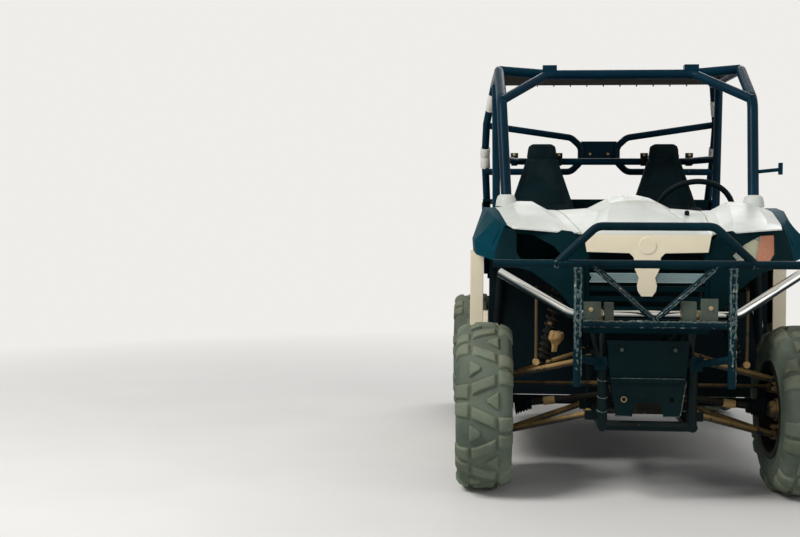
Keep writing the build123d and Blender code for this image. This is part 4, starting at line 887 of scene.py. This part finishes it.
def coil_mesh(low, high, turns):
    """Coil spring round a shock, a little closer at its ends."""
    bm = bmesh.new()
    along, side, third = frame_of(high - low)
    start, end = COIL_LOW, (high - low).length - COIL_HIGH
    count = turns * 22
    points = []
    for index in range(count + 1):
        share = index / count
        turn = 2 * math.pi * turns * share
        flat = 0.5 - 0.5 * math.cos(math.pi * share)
        place = start + COIL_WIRE + (end - start - 2 * COIL_WIRE) * (0.75 * share + 0.25 * flat)
        out = side * math.cos(turn) + third * math.sin(turn)
        points.append(low + along * place + out * COIL_RADIUS)
    pipe(bm, points, COIL_WIRE, 10)
    return bm


def make_shocks():
    """Shocks and springs of both axles."""
    for axle, arm_top, y, joint_x, top_x, top_z, turns in SHOCKS:
        low = lower_eye(arm_top, y, joint_x)
        high = mm(top_x, y * 1000, top_z)
        damper, coil = mirror_copy(shock_mesh(low, high)), mirror_copy(coil_mesh(low, high, turns))
        for name, bm, look in (("damper", damper, "drive"), ("coil", coil, "spring")):
            obj = chassis_piece(f"{name}_{axle}", bm, look)
            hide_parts(f"shocks_{axle}")


def boot(bm, start, end, wide, narrow, folds):
    """Ribbed rubber boot from a wide to a narrow end."""
    axis = Vector(end) - Vector(start)
    length = axis.length
    step = length * 0.86 / folds
    profile = [(0, wide * 0.96), (length * 0.06, wide * 1.02)]
    for fold in range(folds):
        share = (fold + 0.5) / folds
        radius = wide + (narrow - wide) * share
        base = length * 0.08 + fold * step
        for place, bulge in ((0.15, 0.86), (0.5, 1.04), (0.85, 0.86)):
            profile.append((base + step * place, radius * bulge))
    profile += [(length * 0.96, narrow * 1.02), (length, narrow)]
    lathe(bm, start, axis, profile, 28)


def make_boots():
    """Boots at both ends of the half shafts, and a dusty sleeve on each front one."""
    bm = bmesh.new()
    sleeve = [(0, 0.0125), (0.002, 0.0165), (0.046, 0.0165), (0.048, 0.0125)]
    start, end = mm(424, FRONT_AXLE_Y * 1000, 343), mm(150, FRONT_AXLE_Y * 1000, 377)
    lathe(bm, start.lerp(end, 0.18), end - start, sleeve, 24)
    chassis_piece("shaft_sleeves", mirror_copy(bm), "caked")
    bm = bmesh.new()
    for axle_y, end_x in SHAFTS:
        y = axle_y * 1000
        boot(bm, mm(end_x, y, 335), mm(end_x - 66, y, 343), 0.042, 0.027, 5)
        boot(bm, mm(95, y, 385), mm(150, y, 377), 0.041, 0.025, 4)
    chassis_piece("shaft_boots", mirror_copy(bm), "rubber")


# Seats, in millimetres
SEAT_X = 317.0
SEAT_REAR = CABIN_REAR_Y * 1000 - 100
CUSHION_LOW = 640.3
CUSHION_TOP = 757.3
# Columns: z, front y from the cushion's rear, half width, depth
CUSHION_SECTIONS = (
    (CUSHION_LOW, -440, 205, 440),
    (CUSHION_TOP, -440, 205, 440),
)
BACK_SECTIONS = (
    (757.6, -70, 212, 90),
    (1150, -35, 186, 80),
    (1411, 2, 98, 75),
    (1478, 12, 80, 68),
    (1500, 15, 58, 60),
)
PAD_INSET = 9

# Metres: the covers' grid, and how far a point of them may move
PAD_VOXEL = 0.008
PAD_SWELL = 0.012
# Cloth simulation
PAD_PRESSURE = 4.0
CLOTH_FRAMES = 20

# Metres: sewn lines of cushions and backs
CUSHION_SEAM_Z = (CUSHION_TOP - 25) / 1000
CUSHION_SEAM_X = 0.125
BACK_SEAM_X = 0.130
SHOULDER_Z = 1.150
HEAD_SEAM_Z = 1.40
# Width and depth of thin and wide lines
THIN_LINE = (0.005, 0.005)
SHOULDER_LINE = (0.006, 0.006)
WIDE_LINE = (0.006, 0.007)


def remeshed(name, bm):
    """Even quad mesh of a closed form."""
    bmesh.ops.recalc_face_normals(bm, faces=bm.faces)
    obj = add_object(name, mesh_from(name, bm))
    step = obj.modifiers.new("even", "REMESH")
    step.mode = "VOXEL"
    step.voxel_size = PAD_VOXEL
    bpy.context.view_layer.update()
    done = bpy.data.meshes.new_from_object(obj.evaluated_get(bpy.context.evaluated_depsgraph_get()))
    obj.modifiers.clear()
    obj.data = done
    done.name = name
    return obj


def swell(obj):
    """Cloth simulation of a pressed-out cover; no point moves further than PAD_SWELL."""
    scene = bpy.context.scene
    before = [v.co.copy() for v in obj.data.vertices]
    cloth = obj.modifiers.new("cover", "CLOTH")
    cloth.settings.use_pressure = True
    cloth.settings.uniform_pressure_force = PAD_PRESSURE
    cloth.settings.effector_weights.gravity = 0
    cloth.settings.quality = 4
    cloth.point_cache.frame_start = 1
    cloth.point_cache.frame_end = CLOTH_FRAMES
    for number in range(1, CLOTH_FRAMES + 1):
        scene.frame_set(number)
    held = obj.evaluated_get(bpy.context.evaluated_depsgraph_get()).data
    after = [v.co.copy() for v in held.vertices]
    obj.modifiers.remove(cloth)
    for vert, old, new in zip(obj.data.vertices, before, after):
        move = new - old
        if move.length > PAD_SWELL:
            move *= PAD_SWELL / move.length
        vert.co = old + move
    scene.frame_set(1)


def section_form(sections):
    """Closed form of the left seat through flat rectangular sections."""
    bm = bmesh.new()
    rings = []
    for index, (z, y, half, depth) in enumerate(sections):
        lift = PAD_INSET if index == 0 else -PAD_INSET if index == len(sections) - 1 else 0
        right, left = SEAT_X - half + PAD_INSET, SEAT_X + half - PAD_INSET
        front, rear = SEAT_REAR + y + PAD_INSET, SEAT_REAR + y + depth - PAD_INSET
        corners = ((right, front), (left, front), (left, rear), (right, rear))
        rings.append([bm.verts.new(mm(*corner, z + lift)) for corner in corners])
    close_rings(bm, rings)
    return bm


def press_channels(obj, channels):
    """Sewn lines: each is a function that gives the distance from the line, a width and a depth."""
    mesh = obj.data
    normals = [v.normal.copy() for v in mesh.vertices]
    for vert, normal in zip(mesh.vertices, normals):
        for distance, width, depth in channels:
            gap = distance(vert.co, normal)
            if gap is not None and abs(gap) < width * 3:
                vert.co = vert.co - normal * depth * math.exp(-((gap / width) ** 2))


def from_middle(place):
    """Distance from the middle plane of the left seat."""
    return abs(place.x - SEAT_X / 1000)


def cushion_channels():
    """Line along both sides of a cushion's top and three lines across."""

    def along(place, normal):
        if place.z < CUSHION_SEAM_Z:
            return None
        return from_middle(place) - CUSHION_SEAM_X

    def across(y):
        def gap(place, normal):
            if place.z < CUSHION_SEAM_Z or from_middle(place) > CUSHION_SEAM_X:
                return None
            return place.y - y

        return gap

    lines = [(across(SEAT_REAR / 1000 - distance), *THIN_LINE) for distance in (0.10, 0.20, 0.30)]
    return [(along, *WIDE_LINE), *lines]


def back_channels():
    """Line under a back's head part, a line down each side of its front and three lines across."""

    def head(place, normal):
        return place.z - HEAD_SEAM_Z

    def shoulder(place, normal):
        if normal.y > -0.3 or place.z > HEAD_SEAM_Z - 0.01:
            return None
        reach = BACK_SEAM_X
        if place.z >= SHOULDER_Z:
            reach -= (place.z - SHOULDER_Z) * 0.28
        return from_middle(place) - reach

    def across(z):
        def gap(place, normal):
            if normal.y > -0.3 or from_middle(place) > BACK_SEAM_X:
                return None
            return place.z - z

        return gap

    lines = [(across(z), *THIN_LINE) for z in (0.92, 1.04, 1.16)]
    return [(head, *WIDE_LINE), (shoulder, *SHOULDER_LINE), *lines]


def mirrored(obj, name):
    """The right seat's copy of an object."""
    bm = bmesh.new()
    bm.from_mesh(obj.data)
    bmesh.ops.scale(bm, vec=(-1, 1, 1), verts=bm.verts)
    bmesh.ops.reverse_faces(bm, faces=bm.faces)
    return add_object(name, mesh_from(name, bm))


def finish_pad(obj, node):
    """Subdivide, paint and attach one pad to the chassis, and hide its node."""
    finer = obj.modifiers.new("finer", "SUBSURF")
    finer.levels = 1
    finer.render_levels = 1
    for face in obj.data.polygons:
        face.use_smooth = True
    paint(obj, "seat")
    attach(obj, "chassis")
    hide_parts(node)


def make_seats():
    """Cushions and backs, swollen by cloth simulation, with sewn lines."""
    cushion = remeshed("cushion_left", section_form(CUSHION_SECTIONS))
    back = remeshed("backrest_left", section_form(BACK_SECTIONS))
    swell(cushion)
    swell(back)
    press_channels(cushion, cushion_channels())
    press_channels(back, back_channels())
    for obj, name, node in (
        (cushion, "cushion_right", "seat_cushions"),
        (back, "backrest_right", "seat_backs"),
    ):
        twin = mirrored(obj, name)
        finish_pad(obj, node)
        finish_pad(twin, node)


# Small parts

# Centre line of the left rear stay, from its foot to the roof
STAY_FOOT = mm(606, 860, 1180)
STAY_BEND = mm(618, 780, 1430)
STAY_KNEE = mm(610, 680, 1600)
STAY_TOP = mm(571, 558, 1790)
TAPE_HOLE = 0.0198
# Columns: side, ends of the stay's run, tape's lower z and upper z, radius
TAPE_BANDS = (
    (-1, STAY_KNEE, STAY_TOP, 1.666, 1.746, 0.0218),
    (-1, STAY_FOOT, STAY_BEND, 1.367, 1.4285, 0.0265),
    (-1, STAY_BEND, STAY_KNEE, 1.4315, 1.476, 0.0265),
    (1, STAY_KNEE, STAY_TOP, 1.640, 1.715, 0.0218),
    (1, STAY_BEND, STAY_KNEE, 1.432, 1.476, 0.0255),
)


def tape_bands(bm):
    """Pale tape round the rear stays."""
    for side, low, high, low_z, high_z, radius in TAPE_BANDS:
        start, end = [low.lerp(high, (z - low.z) / (high.z - low.z)) for z in (low_z, high_z)]
        start.x *= side
        end.x *= side
        length = (end - start).length
        soft = [(0, TAPE_HOLE), (0.001, radius - 0.001), (0.003, radius)]
        far = [(length - distance, reach) for distance, reach in reversed(soft)]
        lathe(bm, start, end - start, soft + far, 28)


def belt_brackets(bm):
    """Brackets of the belts on the harness bar."""
    for x in BRACKET_X:
        slab(bm, (x, HARNESS_Y - 0.004, 1.4135), (0.040, 0.012, 0.048))
        slab(bm, (x, HARNESS_Y, HARNESS_Z), (0.034, 0.044, 0.044), 0.004)


def cage_bolts(bm):
    """Bolts in the middle plate and in the belt brackets."""
    for x in (-0.048, 0.048):
        hexagon(bm, (x, MIDDLE_PLATE_Y - 0.0035, 1.441), (0, -1, 0), 0.0055, 0.006)
    for x in BRACKET_X:
        hexagon(bm, (x, HARNESS_Y - 0.0095, 1.427), (0, -1, 0), 0.006, 0.007)


def slim_uprights(bm):
    """Uprights drawn in by a tenth, so that the welds on them stay in the guard's depth."""
    for vert in bm.verts:
        side = 1 if vert.co.x > 0 else -1
        out_x = vert.co.x - UPRIGHT_X * side
        out_y = vert.co.y - GUARD_Y
        if math.hypot(out_x, out_y) < 0.0165 and vert.co.z < 0.905:
            vert.co.x -= out_x * 0.1
            vert.co.y -= out_y * 0.1


def guard_plate(centre):
    """The four flat plates and clamps over the bright tube."""
    if not 704.5 <= centre.z <= 790:
        return False
    return any(low <= centre.x <= high for low, high in PLATE_SPANS)


def drop_link(centre):
    """The thin rods from the sway bar to the arms."""
    return abs(centre.x) > 396 and centre.z < 785


# Welds on the guard
WELD_STEP = 0.004
WELD_SIDES = 8
WELD_Y = GUARD_Y - 0.0115
BRACE_WELD_Y = GUARD_Y - 0.009
BAR_WELD_Y = GUARD_Y - 0.008
BAR_TOP_Z = 0.702
# Columns: shift in x, lower end z, radius
UPRIGHT_BEADS = ((-0.009, 0.60, 0.0044), (0.0, 0.52, 0.0046), (0.010, 0.64, 0.0042))
# Columns: drop below the bar's top, radius
BAR_BEADS = ((0.0, 0.004), (0.010, 0.003), (0.019, 0.0026))


def wobbly(points, radius, sway):
    """Route with small side steps, and a radius for each of its points."""
    route = [Vector(p) for p in points]
    dense = []
    for a, b in zip(route, route[1:]):
        count = max(1, round((b - a).length / WELD_STEP))
        for index in range(count):
            place = a.lerp(b, index / count)
            swing = noise.noise_vector(place * 70) * sway
            dense.append((place + swing, radius * (1 + 0.7 * noise.noise(place * 120))))
    return dense


def weld_run(bm, points, radius, sway):
    """Lumpy hand-laid weld along points."""
    rows = wobbly(points, radius, sway)
    _, side, third = frame_of(rows[1][0] - rows[0][0])
    around = spokes(side, third, WELD_SIDES)
    rings = []
    for place, reach in rows:
        ring = []
        for out in around:
            lump = 1 + 0.45 * noise.noise((place + out * radius) * 210)
            ring.append(bm.verts.new(place + out * reach * lump))
        rings.append(ring)
    close_rings(bm, rings)


def keep_in_box(bm):
    """Press what stands proud of the nose end back to it."""
    for vert in bm.verts:
        vert.co.y = max(vert.co.y, cad_low[1] + 0.0001)


def spatter(bm, centre, spread, count, size):
    """Small lumps scattered about a joint."""
    for _ in range(count):
        place = Vector(centre) + Vector([random.uniform(-spread, spread), 0, random.uniform(-spread, spread)])
        made = bmesh.ops.create_icosphere(bm, subdivisions=1, radius=size * random.uniform(0.5, 1.0))
        bmesh.ops.translate(bm, vec=place, verts=made["verts"])


def weld_upright(bm, side):
    """Beads down an upright, and lumps where the lower bar and the hoop meet it."""
    x = UPRIGHT_X * side
    for shift, low, radius in UPRIGHT_BEADS:
        weld_run(bm, [(x + shift, WELD_Y, 0.895), (x + shift * 0.8, WELD_Y, low)], radius, 0.004)
    weld_run(bm, [(x + 0.013, WELD_Y + 0.006, 0.60), (x + 0.012, WELD_Y + 0.006, 0.475)], 0.003, 0.003)
    spatter(bm, (x, WELD_Y, 0.715), 0.016, 26, 0.0045)
    spatter(bm, (x, WELD_Y, 0.880), 0.012, 14, 0.004)


def weld_brace(bm, side):
    """Beads down a slanting brace and round the upright's top, and lumps at the hoop."""
    for shift in (-0.005, 0.006):
        top = (0.206 * side + shift, BRACE_WELD_Y, 0.886)
        weld_run(bm, [top, (0.006 * side + shift, BRACE_WELD_Y, 0.714)], 0.0026, 0.002)
    weld_run(bm, ring_points((UPRIGHT_X * side, GUARD_Y, 0.892), (0, 0, 1), 0.0155, 24), 0.003, 0.001)
    spatter(bm, (0.350 * side, GUARD_Y - 0.012, 0.905), 0.012, 12, 0.0036)
    spatter(bm, (0.208 * side, GUARD_Y - 0.010, 0.893), 0.010, 10, 0.0034)


def weld_lower_bar(bm):
    """Beads along the lower bar, lumps at its middle and a bead on each flat plate."""
    for drop, radius in BAR_BEADS:
        route = [(x, BAR_WELD_Y, BAR_TOP_Z - drop) for x in (-0.255, 0.255)]
        weld_run(bm, route, radius, 0.003)
    spatter(bm, (0.0, GUARD_Y - 0.011, 0.712), 0.014, 24, 0.004)
    for x, high in ((-0.253, 0.762), (0.161, 0.776)):
        weld_run(bm, [(x, GUARD_Y - 0.002, 0.706), (x + 0.006, GUARD_Y - 0.002, high)], 0.0022, 0.0015)


def weld_beads(bm):
    """Welds of the guard."""
    for _, side in SIDES:
        weld_upright(bm, side)
        weld_brace(bm, side)
    weld_lower_bar(bm)
    keep_in_box(bm)


def guard_bolts(bm):
    """Bolts of the guard's flat plates, and the collars on the bright tube."""
    for x, z in ((-0.226, 0.744), (0.196, 0.752)):
        hexagon(bm, (x, GUARD_Y - 0.003, z), (0, -1, 0), 0.006, 0.008)
    collar = [(-0.005, 0.0186), (-0.004, 0.0215), (0.004, 0.0215), (0.005, 0.0186)]
    for x in (-0.186, 0.0975, 0.150, 0.159):
        lathe(bm, (x, CHROME_Y, CHROME_Z), (1, 0, 0), collar, 24)


def skid_bolts(bm):
    """Bolts of the skid plate."""
    for _, side in SIDES:
        hexagon(bm, (0.098 * side, SKID_BOSS_Y + 0.0005, 0.585), (0, -1, 0), 0.0055, 0.005)


def skid_rim(bm):
    """Rim round the skid plate's hole."""
    pipe(bm, ring_points((-0.088, SKID_FACE_Y - 0.001, 0.400), (0, 1, 0), 0.0095, 22), 0.0018, 8)


def post_arc(z):
    """Points round the front of the box's right post, lowest at its foremost line."""
    arc = []
    for index in range(13):
        turn = math.radians(-85 + index * 170 / 12)
        x = -BOX_POST_X + BOX_WELD_RADIUS * math.sin(turn)
        y = BOX_POST_Y - BOX_WELD_RADIUS * math.cos(turn)
        arc.append((x, y, z - 0.008 * math.cos(turn)))
    return arc


def skid_welds(bm):
    """Bright fold line, welds round the box's post, and welds at the plate's edge and foot."""
    weld_run(bm, [(x, SKID_FRONT_Y + 0.001, 0.4795) for x in (-0.136, 0.136)], 0.0014, 0.0005)
    for z in (0.473, 0.409, 0.357):
        weld_run(bm, post_arc(z), 0.0018, 0.0004)
    y = SKID_FACE_Y - 0.0005
    weld_run(bm, [(0.139, y, 0.463), (0.119, y, 0.338)], 0.0018, 0.0006)
    for _, side in SIDES:
        weld_run(bm, [(0.117 * side, y, 0.3375), (0.060 * side, y, 0.3375)], 0.0016, 0.0008)


def link_eyes(bm):
    """Eyes at the lower ends of the sway bar's links."""
    low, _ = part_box("sway_bar")
    half = [(-0.009, 0.007), (-0.009, 0.0125), (-0.004, 0.014)]
    eye = half + [(-distance, radius) for distance, radius in reversed(half)]
    for _, side in SIDES:
        lathe(bm, (0.405 * side, low.y + 0.0085, low.z + 0.016), (0, 1, 0), eye, 24)


def make_lens():
    """Headlamp glass: clear inner part and amber outer part."""
    low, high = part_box("lamp_lens")
    cut = Vector((low.x + (high.x - low.x) * 0.66, 0, high.z))
    normal = Vector((1.0, 0, -0.18)).normalized()
    for name, look, keep in (("lens_clear", "lens", -1), ("lens_amber", "amber", 1)):
        bm = bmesh.new()
        bm.from_mesh(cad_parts["lamp_lens"].data)
        bmesh.ops.remove_doubles(bm, verts=bm.verts, dist=SAME_POINT)
        bmesh.ops.bisect_plane(
            bm,
            geom=bm.verts[:] + bm.edges[:] + bm.faces[:],
            plane_co=cut,
            plane_no=normal,
            clear_inner=keep > 0,
            clear_outer=keep < 0,
        )
        bmesh.ops.holes_fill(bm, edges=[e for e in bm.edges if e.is_boundary])
        obj = mesh_object(name, bm, look, "chassis", sharp=30.0)
        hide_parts("lamp_lens")


def caked_lump(bm):
    """Dust-caked clamp with its tail, on the front shock at picture left."""
    top = mm(-324, -1036, 612)
    profile = [(0.0, 0.012), (0.006, 0.024), (0.020, 0.030), (0.034, 0.027), (0.050, 0.016), (0.082, 0.008)]
    lathe(bm, top + Vector((0, 0, 0.022)), (-0.12, 0.0, -1.0), profile, 28)
    bmesh.ops.subdivide_edges(bm, edges=bm.edges, cuts=1, use_grid_fill=True)
    for vert in bm.verts:
        vert.co += noise.noise_vector(vert.co * 48) * 0.009 + noise.noise_vector(vert.co * 150) * 0.004


def lamp_bowl(bm):
    """Reflector bowl behind the headlamp's lens."""
    low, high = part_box("lamp_lens")
    centre = Vector(((low.x + high.x) / 2 - 0.01, low.y + 0.085, (low.z + high.z) / 2 - 0.002))
    bowl = [(0.0, 0.010), (0.004, 0.016), (0.014, 0.026), (0.030, 0.034), (0.044, 0.038)]
    lathe(bm, centre, (0.18, -1.0, -0.05), bowl, 28)


def bed_ribs(bm):
    """Ribs on the cargo box's floor, tailgate and sides."""
    low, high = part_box("cargo_bed")
    for index in range(7):
        x = -0.45 + 0.15 * index
        slab(bm, (x, (low.y + BED_REAR_Y) / 2, low.z + 0.022), (0.030, 0.68, 0.008))
    for z, tall in ((0.842, 0.022), (0.985, 0.016), (1.132, 0.022)):
        slab(bm, (0, BED_REAR_Y + 0.002, z), (0.88, 0.008, tall))
    for x in (-0.430, -0.145, 0.145, 0.430):
        slab(bm, (x, BED_REAR_Y + 0.002, 0.987), (0.020, 0.007, 0.290))
    for _, side in SIDES:
        for index in range(6):
            slab(bm, (side * (high.x + 0.001), 0.70 + 0.13 * index, 1.100), (0.006, 0.024, 0.150))


def tailgate_latch(bm):
    """Handle and bolted hinges of the tailgate."""
    slab(bm, (0, BED_REAR_Y + 0.006, 1.165), (0.150, 0.012, 0.026), 0.003)
    for x in (-0.40, 0.40):
        slab(bm, (x, BED_REAR_Y + 0.003, 0.815), (0.070, 0.010, 0.030))
        for shift in (-0.02, 0.02):
            hexagon(bm, (x + shift, BED_REAR_Y + 0.008, 0.815), (0, 1, 0), 0.006, 0.006)


def lamp_ribs(bm):
    """Ribs on the tail lamps' glass."""
    low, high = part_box("tail_lamps")
    for index in range(5):
        z = low.z + 0.016 + 0.012 * index
        for _, side in SIDES:
            ends = [(side * (high.x - inset), high.y, z) for inset in (0.083, 0.007)]
            pipe(bm, ends, 0.0018, 8)


def hood_knob(bm):
    """Black knob on the hood."""
    knob = [(0, 0.009), (0.006, 0.0095), (0.012, 0.010), (0.018, 0.008), (0.021, 0.003)]
    lathe(bm, mm(204, -860, 1088), (0, 0, 1), knob, 20)


def hood_crease_highlight(bm):
    """Raised bead along the fold where the hood's middle turns down to the nose, in the brighter tape colour:
    a painted highlight along the fold.
    """
    fold = [mm(x, HOOD_FOLD_Y * 1000, z) for x, z in ((144, 1103.5), (98, 1135.5), (34, 1147.5))]
    far = [Vector((-point.x, point.y, point.z)) for point in reversed(fold)]
    pipe(bm, fold + far, 0.0048)


def grille_strip(bm):
    """Pale pierced strip behind the nose stem."""
    y = FRONT_AXLE_Y - 0.1985
    low, high = 0.833, 0.865
    count = 50
    half = 0.206
    for index in range(count):
        x = -half + (index + 0.5) * 2 * half / count
        for shift in (0.010, -0.010):
            pipe(bm, [(x - shift, y, low), (x + shift, y, high)], 0.0016, 5)
    for z in (low, high):
        pipe(bm, [(-half - 0.005, y, z), (half + 0.005, y, z)], 0.0022, 6)


def roof_ties(bm):
    """Small loops that hold the roof sheet's rear edge."""
    _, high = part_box("roof_panel")
    for index in range(11):
        centre = Vector((-0.43 + 0.086 * index, high.y - 0.010, high.z - 0.005))
        pipe(bm, ring_points(centre, (1, 0, 0), 0.0085, 14), 0.0028, 6)


# Pieces on the chassis. Columns: maker, whose name is the piece's, look, slot, sharp edge in degrees
PIECES = (
    (tape_bands, "tape", "white_body", 35.0),
    (belt_brackets, "frame", "cage_paint", 35.0),
    (cage_bolts, "bolt", "cage_paint", 35.0),
    (weld_beads, "weld", "guard_paint", 80.0),
    (guard_bolts, "bolt", "guard_paint", 35.0),
    (skid_bolts, "plate", "frame_paint", 35.0),
    (skid_rim, "bolt", "frame_paint", 35.0),
    (skid_welds, "weld", "frame_paint", 80.0),
    (link_eyes, "caked", "arm_steel", 35.0),
    (caked_lump, "caked", "arm_steel", 80.0),
    (lamp_bowl, "reflector", "lamp_lens", 35.0),
    (bed_ribs, "dark", "dark_plastic", 35.0),
    (tailgate_latch, "frame", "frame_paint", 35.0),
    (lamp_ribs, "red", "tail_lens", 35.0),
    (hood_knob, "rubber", "dark_plastic", 35.0),
    # Painted highlight: the hood's fold bead in the brighter tape colour
    (hood_crease_highlight, "tape", "white_body", 35.0),
    (grille_strip, "mesh", "dark_plastic", 35.0),
    (roof_ties, "rubber", "roof_sheet", 35.0),
)


# Stage, lights and camera

FLOOR_HALF = 40
# Distances from the middle between which the floor turns into backdrop
FLOOR_FADE = (2.2, 6.0)
# Columns: name, place, power, size
LIGHTS = (
    ("key", (-4.5, -4.0, 5.5), 380.0, 2.6),
    ("fill", (5.0, -4.5, 2.5), 90.0, 4.0),
    ("back", (1.0, 5.5, 5.0), 170.0, 4.0),
)
LIGHTS_AIM = Vector((0, 0, 0.8))
CAMERA_PLACE = (-0.591, -5.544, 1.030)
CAMERA_YAW = 0.078
CAMERA_PITCH = -0.035
CAMERA_ROLL = 0.005


def make_floor():
    """Pale floor that turns into the backdrop far from the object."""
    bm = bmesh.new()
    for x, y in ((-1, -1), (1, -1), (1, 1), (-1, 1)):
        bm.verts.new((x * FLOOR_HALF, y * FLOOR_HALF, 0))
    bm.faces.new(bm.verts)
    floor = add_object("floor", mesh_from("floor", bm))
    n = Surface("pale_floor")
    tone = n.mix(n.span(n.noise(1.5, 5.0), 0.3, 0.7), (0.78, 0.755, 0.715), (0.82, 0.795, 0.755))
    n.feed(n.shader, {"Base Color": tone, "Roughness": 0.9, "Specular IOR Level": 0.0})
    reach = n.new("ShaderNodeVectorMath", {0: n.place}, operation="LENGTH").outputs["Value"]
    seen = n.new("ShaderNodeLightPath", {}).outputs["Is Camera Ray"]
    far = n.times(n.span(reach, *FLOOR_FADE), seen)
    glow = n.new("ShaderNodeEmission", {"Color": BACKDROP}).outputs["Emission"]
    blend = n.new("ShaderNodeMixShader", {0: far, 1: n.shader.outputs["BSDF"], 2: glow})
    n.feed(n.tree.nodes["Material Output"], {"Surface": blend.outputs["Shader"]})
    floor.data.materials.append(n.material)


def make_sky():
    """Backdrop for the camera, mirrors and glass, and a cooler, dimmer sky that lights the rest."""
    world = bpy.data.worlds.new("sky")
    bpy.context.scene.world = world
    world.use_nodes = True
    world.node_tree.nodes.clear()
    n = Tree(world.node_tree)
    path = n.new("ShaderNodeLightPath", {})
    seen = path.outputs["Is Camera Ray"]
    for ray in ("Is Glossy Ray", "Is Transmission Ray"):
        inputs = {0: seen, 1: path.outputs[ray]}
        seen = n.new("ShaderNodeMath", inputs, operation="ADD", use_clamp=True).outputs["Value"]
    shown, lit = [
        n.new("ShaderNodeBackground", {"Color": colour, "Strength": strength}).outputs["Background"]
        for colour, strength in ((BACKDROP, 1.0), (SKY, 0.32))
    ]
    choose = n.new("ShaderNodeMixShader", {0: seen, 1: lit, 2: shown})
    n.new("ShaderNodeOutputWorld", {"Surface": choose.outputs["Shader"]})


def make_lights():
    """Large soft lamps."""
    for name, place, power, size in LIGHTS:
        data = bpy.data.lights.new(name, "AREA")
        data.energy = power
        data.size = size
        lamp = add_object(name, data)
        lamp.location = place
        lamp.rotation_mode = "QUATERNION"
        lamp.rotation_quaternion = (LIGHTS_AIM - Vector(place)).to_track_quat("-Z", "Y")


def make_camera():
    """Camera at the photograph's place and angle."""
    level = math.cos(CAMERA_PITCH)
    right = Vector((math.cos(CAMERA_YAW), math.sin(CAMERA_YAW), 0))
    forward = Vector((-math.sin(CAMERA_YAW) * level, math.cos(CAMERA_YAW) * level, math.sin(CAMERA_PITCH)))
    up = right.cross(forward)
    turned_right = right * math.cos(CAMERA_ROLL) + up * math.sin(CAMERA_ROLL)
    turned_up = up * math.cos(CAMERA_ROLL) - right * math.sin(CAMERA_ROLL)
    data = bpy.data.cameras.new("camera")
    data.sensor_width = 36.0
    data.lens = 51.29
    camera = add_object("camera", data)
    rows = Matrix((turned_right, turned_up, -forward)).transposed()
    camera.matrix_world = Matrix.Translation(CAMERA_PLACE) @ rows.to_4x4()
    bpy.context.scene.camera = camera


def main():
    """Looks on the frame's nodes, then every piece of the scene, then the stage."""
    bpy.context.scene.view_settings.view_transform = "Standard"
    for look, nodes in NODE_LOOKS.items():
        for node in nodes:
            paint(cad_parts[node], look)
    for node, look, width, angle in SOFTENED:
        own_form(node, look, width, angle)
    own_form("brush_guard", "guard", part_look="plate", part_test=guard_plate, reshape=slim_uprights)
    own_form("sway_bar", "drive", part_look="arm", part_test=drop_link)
    make_lens()
    make_wheels()
    make_shocks()
    make_boots()
    make_seats()
    for maker, look, slot, sharp in PIECES:
        bm = bmesh.new()
        maker(bm)
        chassis_piece(maker.__name__, bm, look, sharp)
    make_floor()
    make_sky()
    make_lights()
    make_camera()


main()
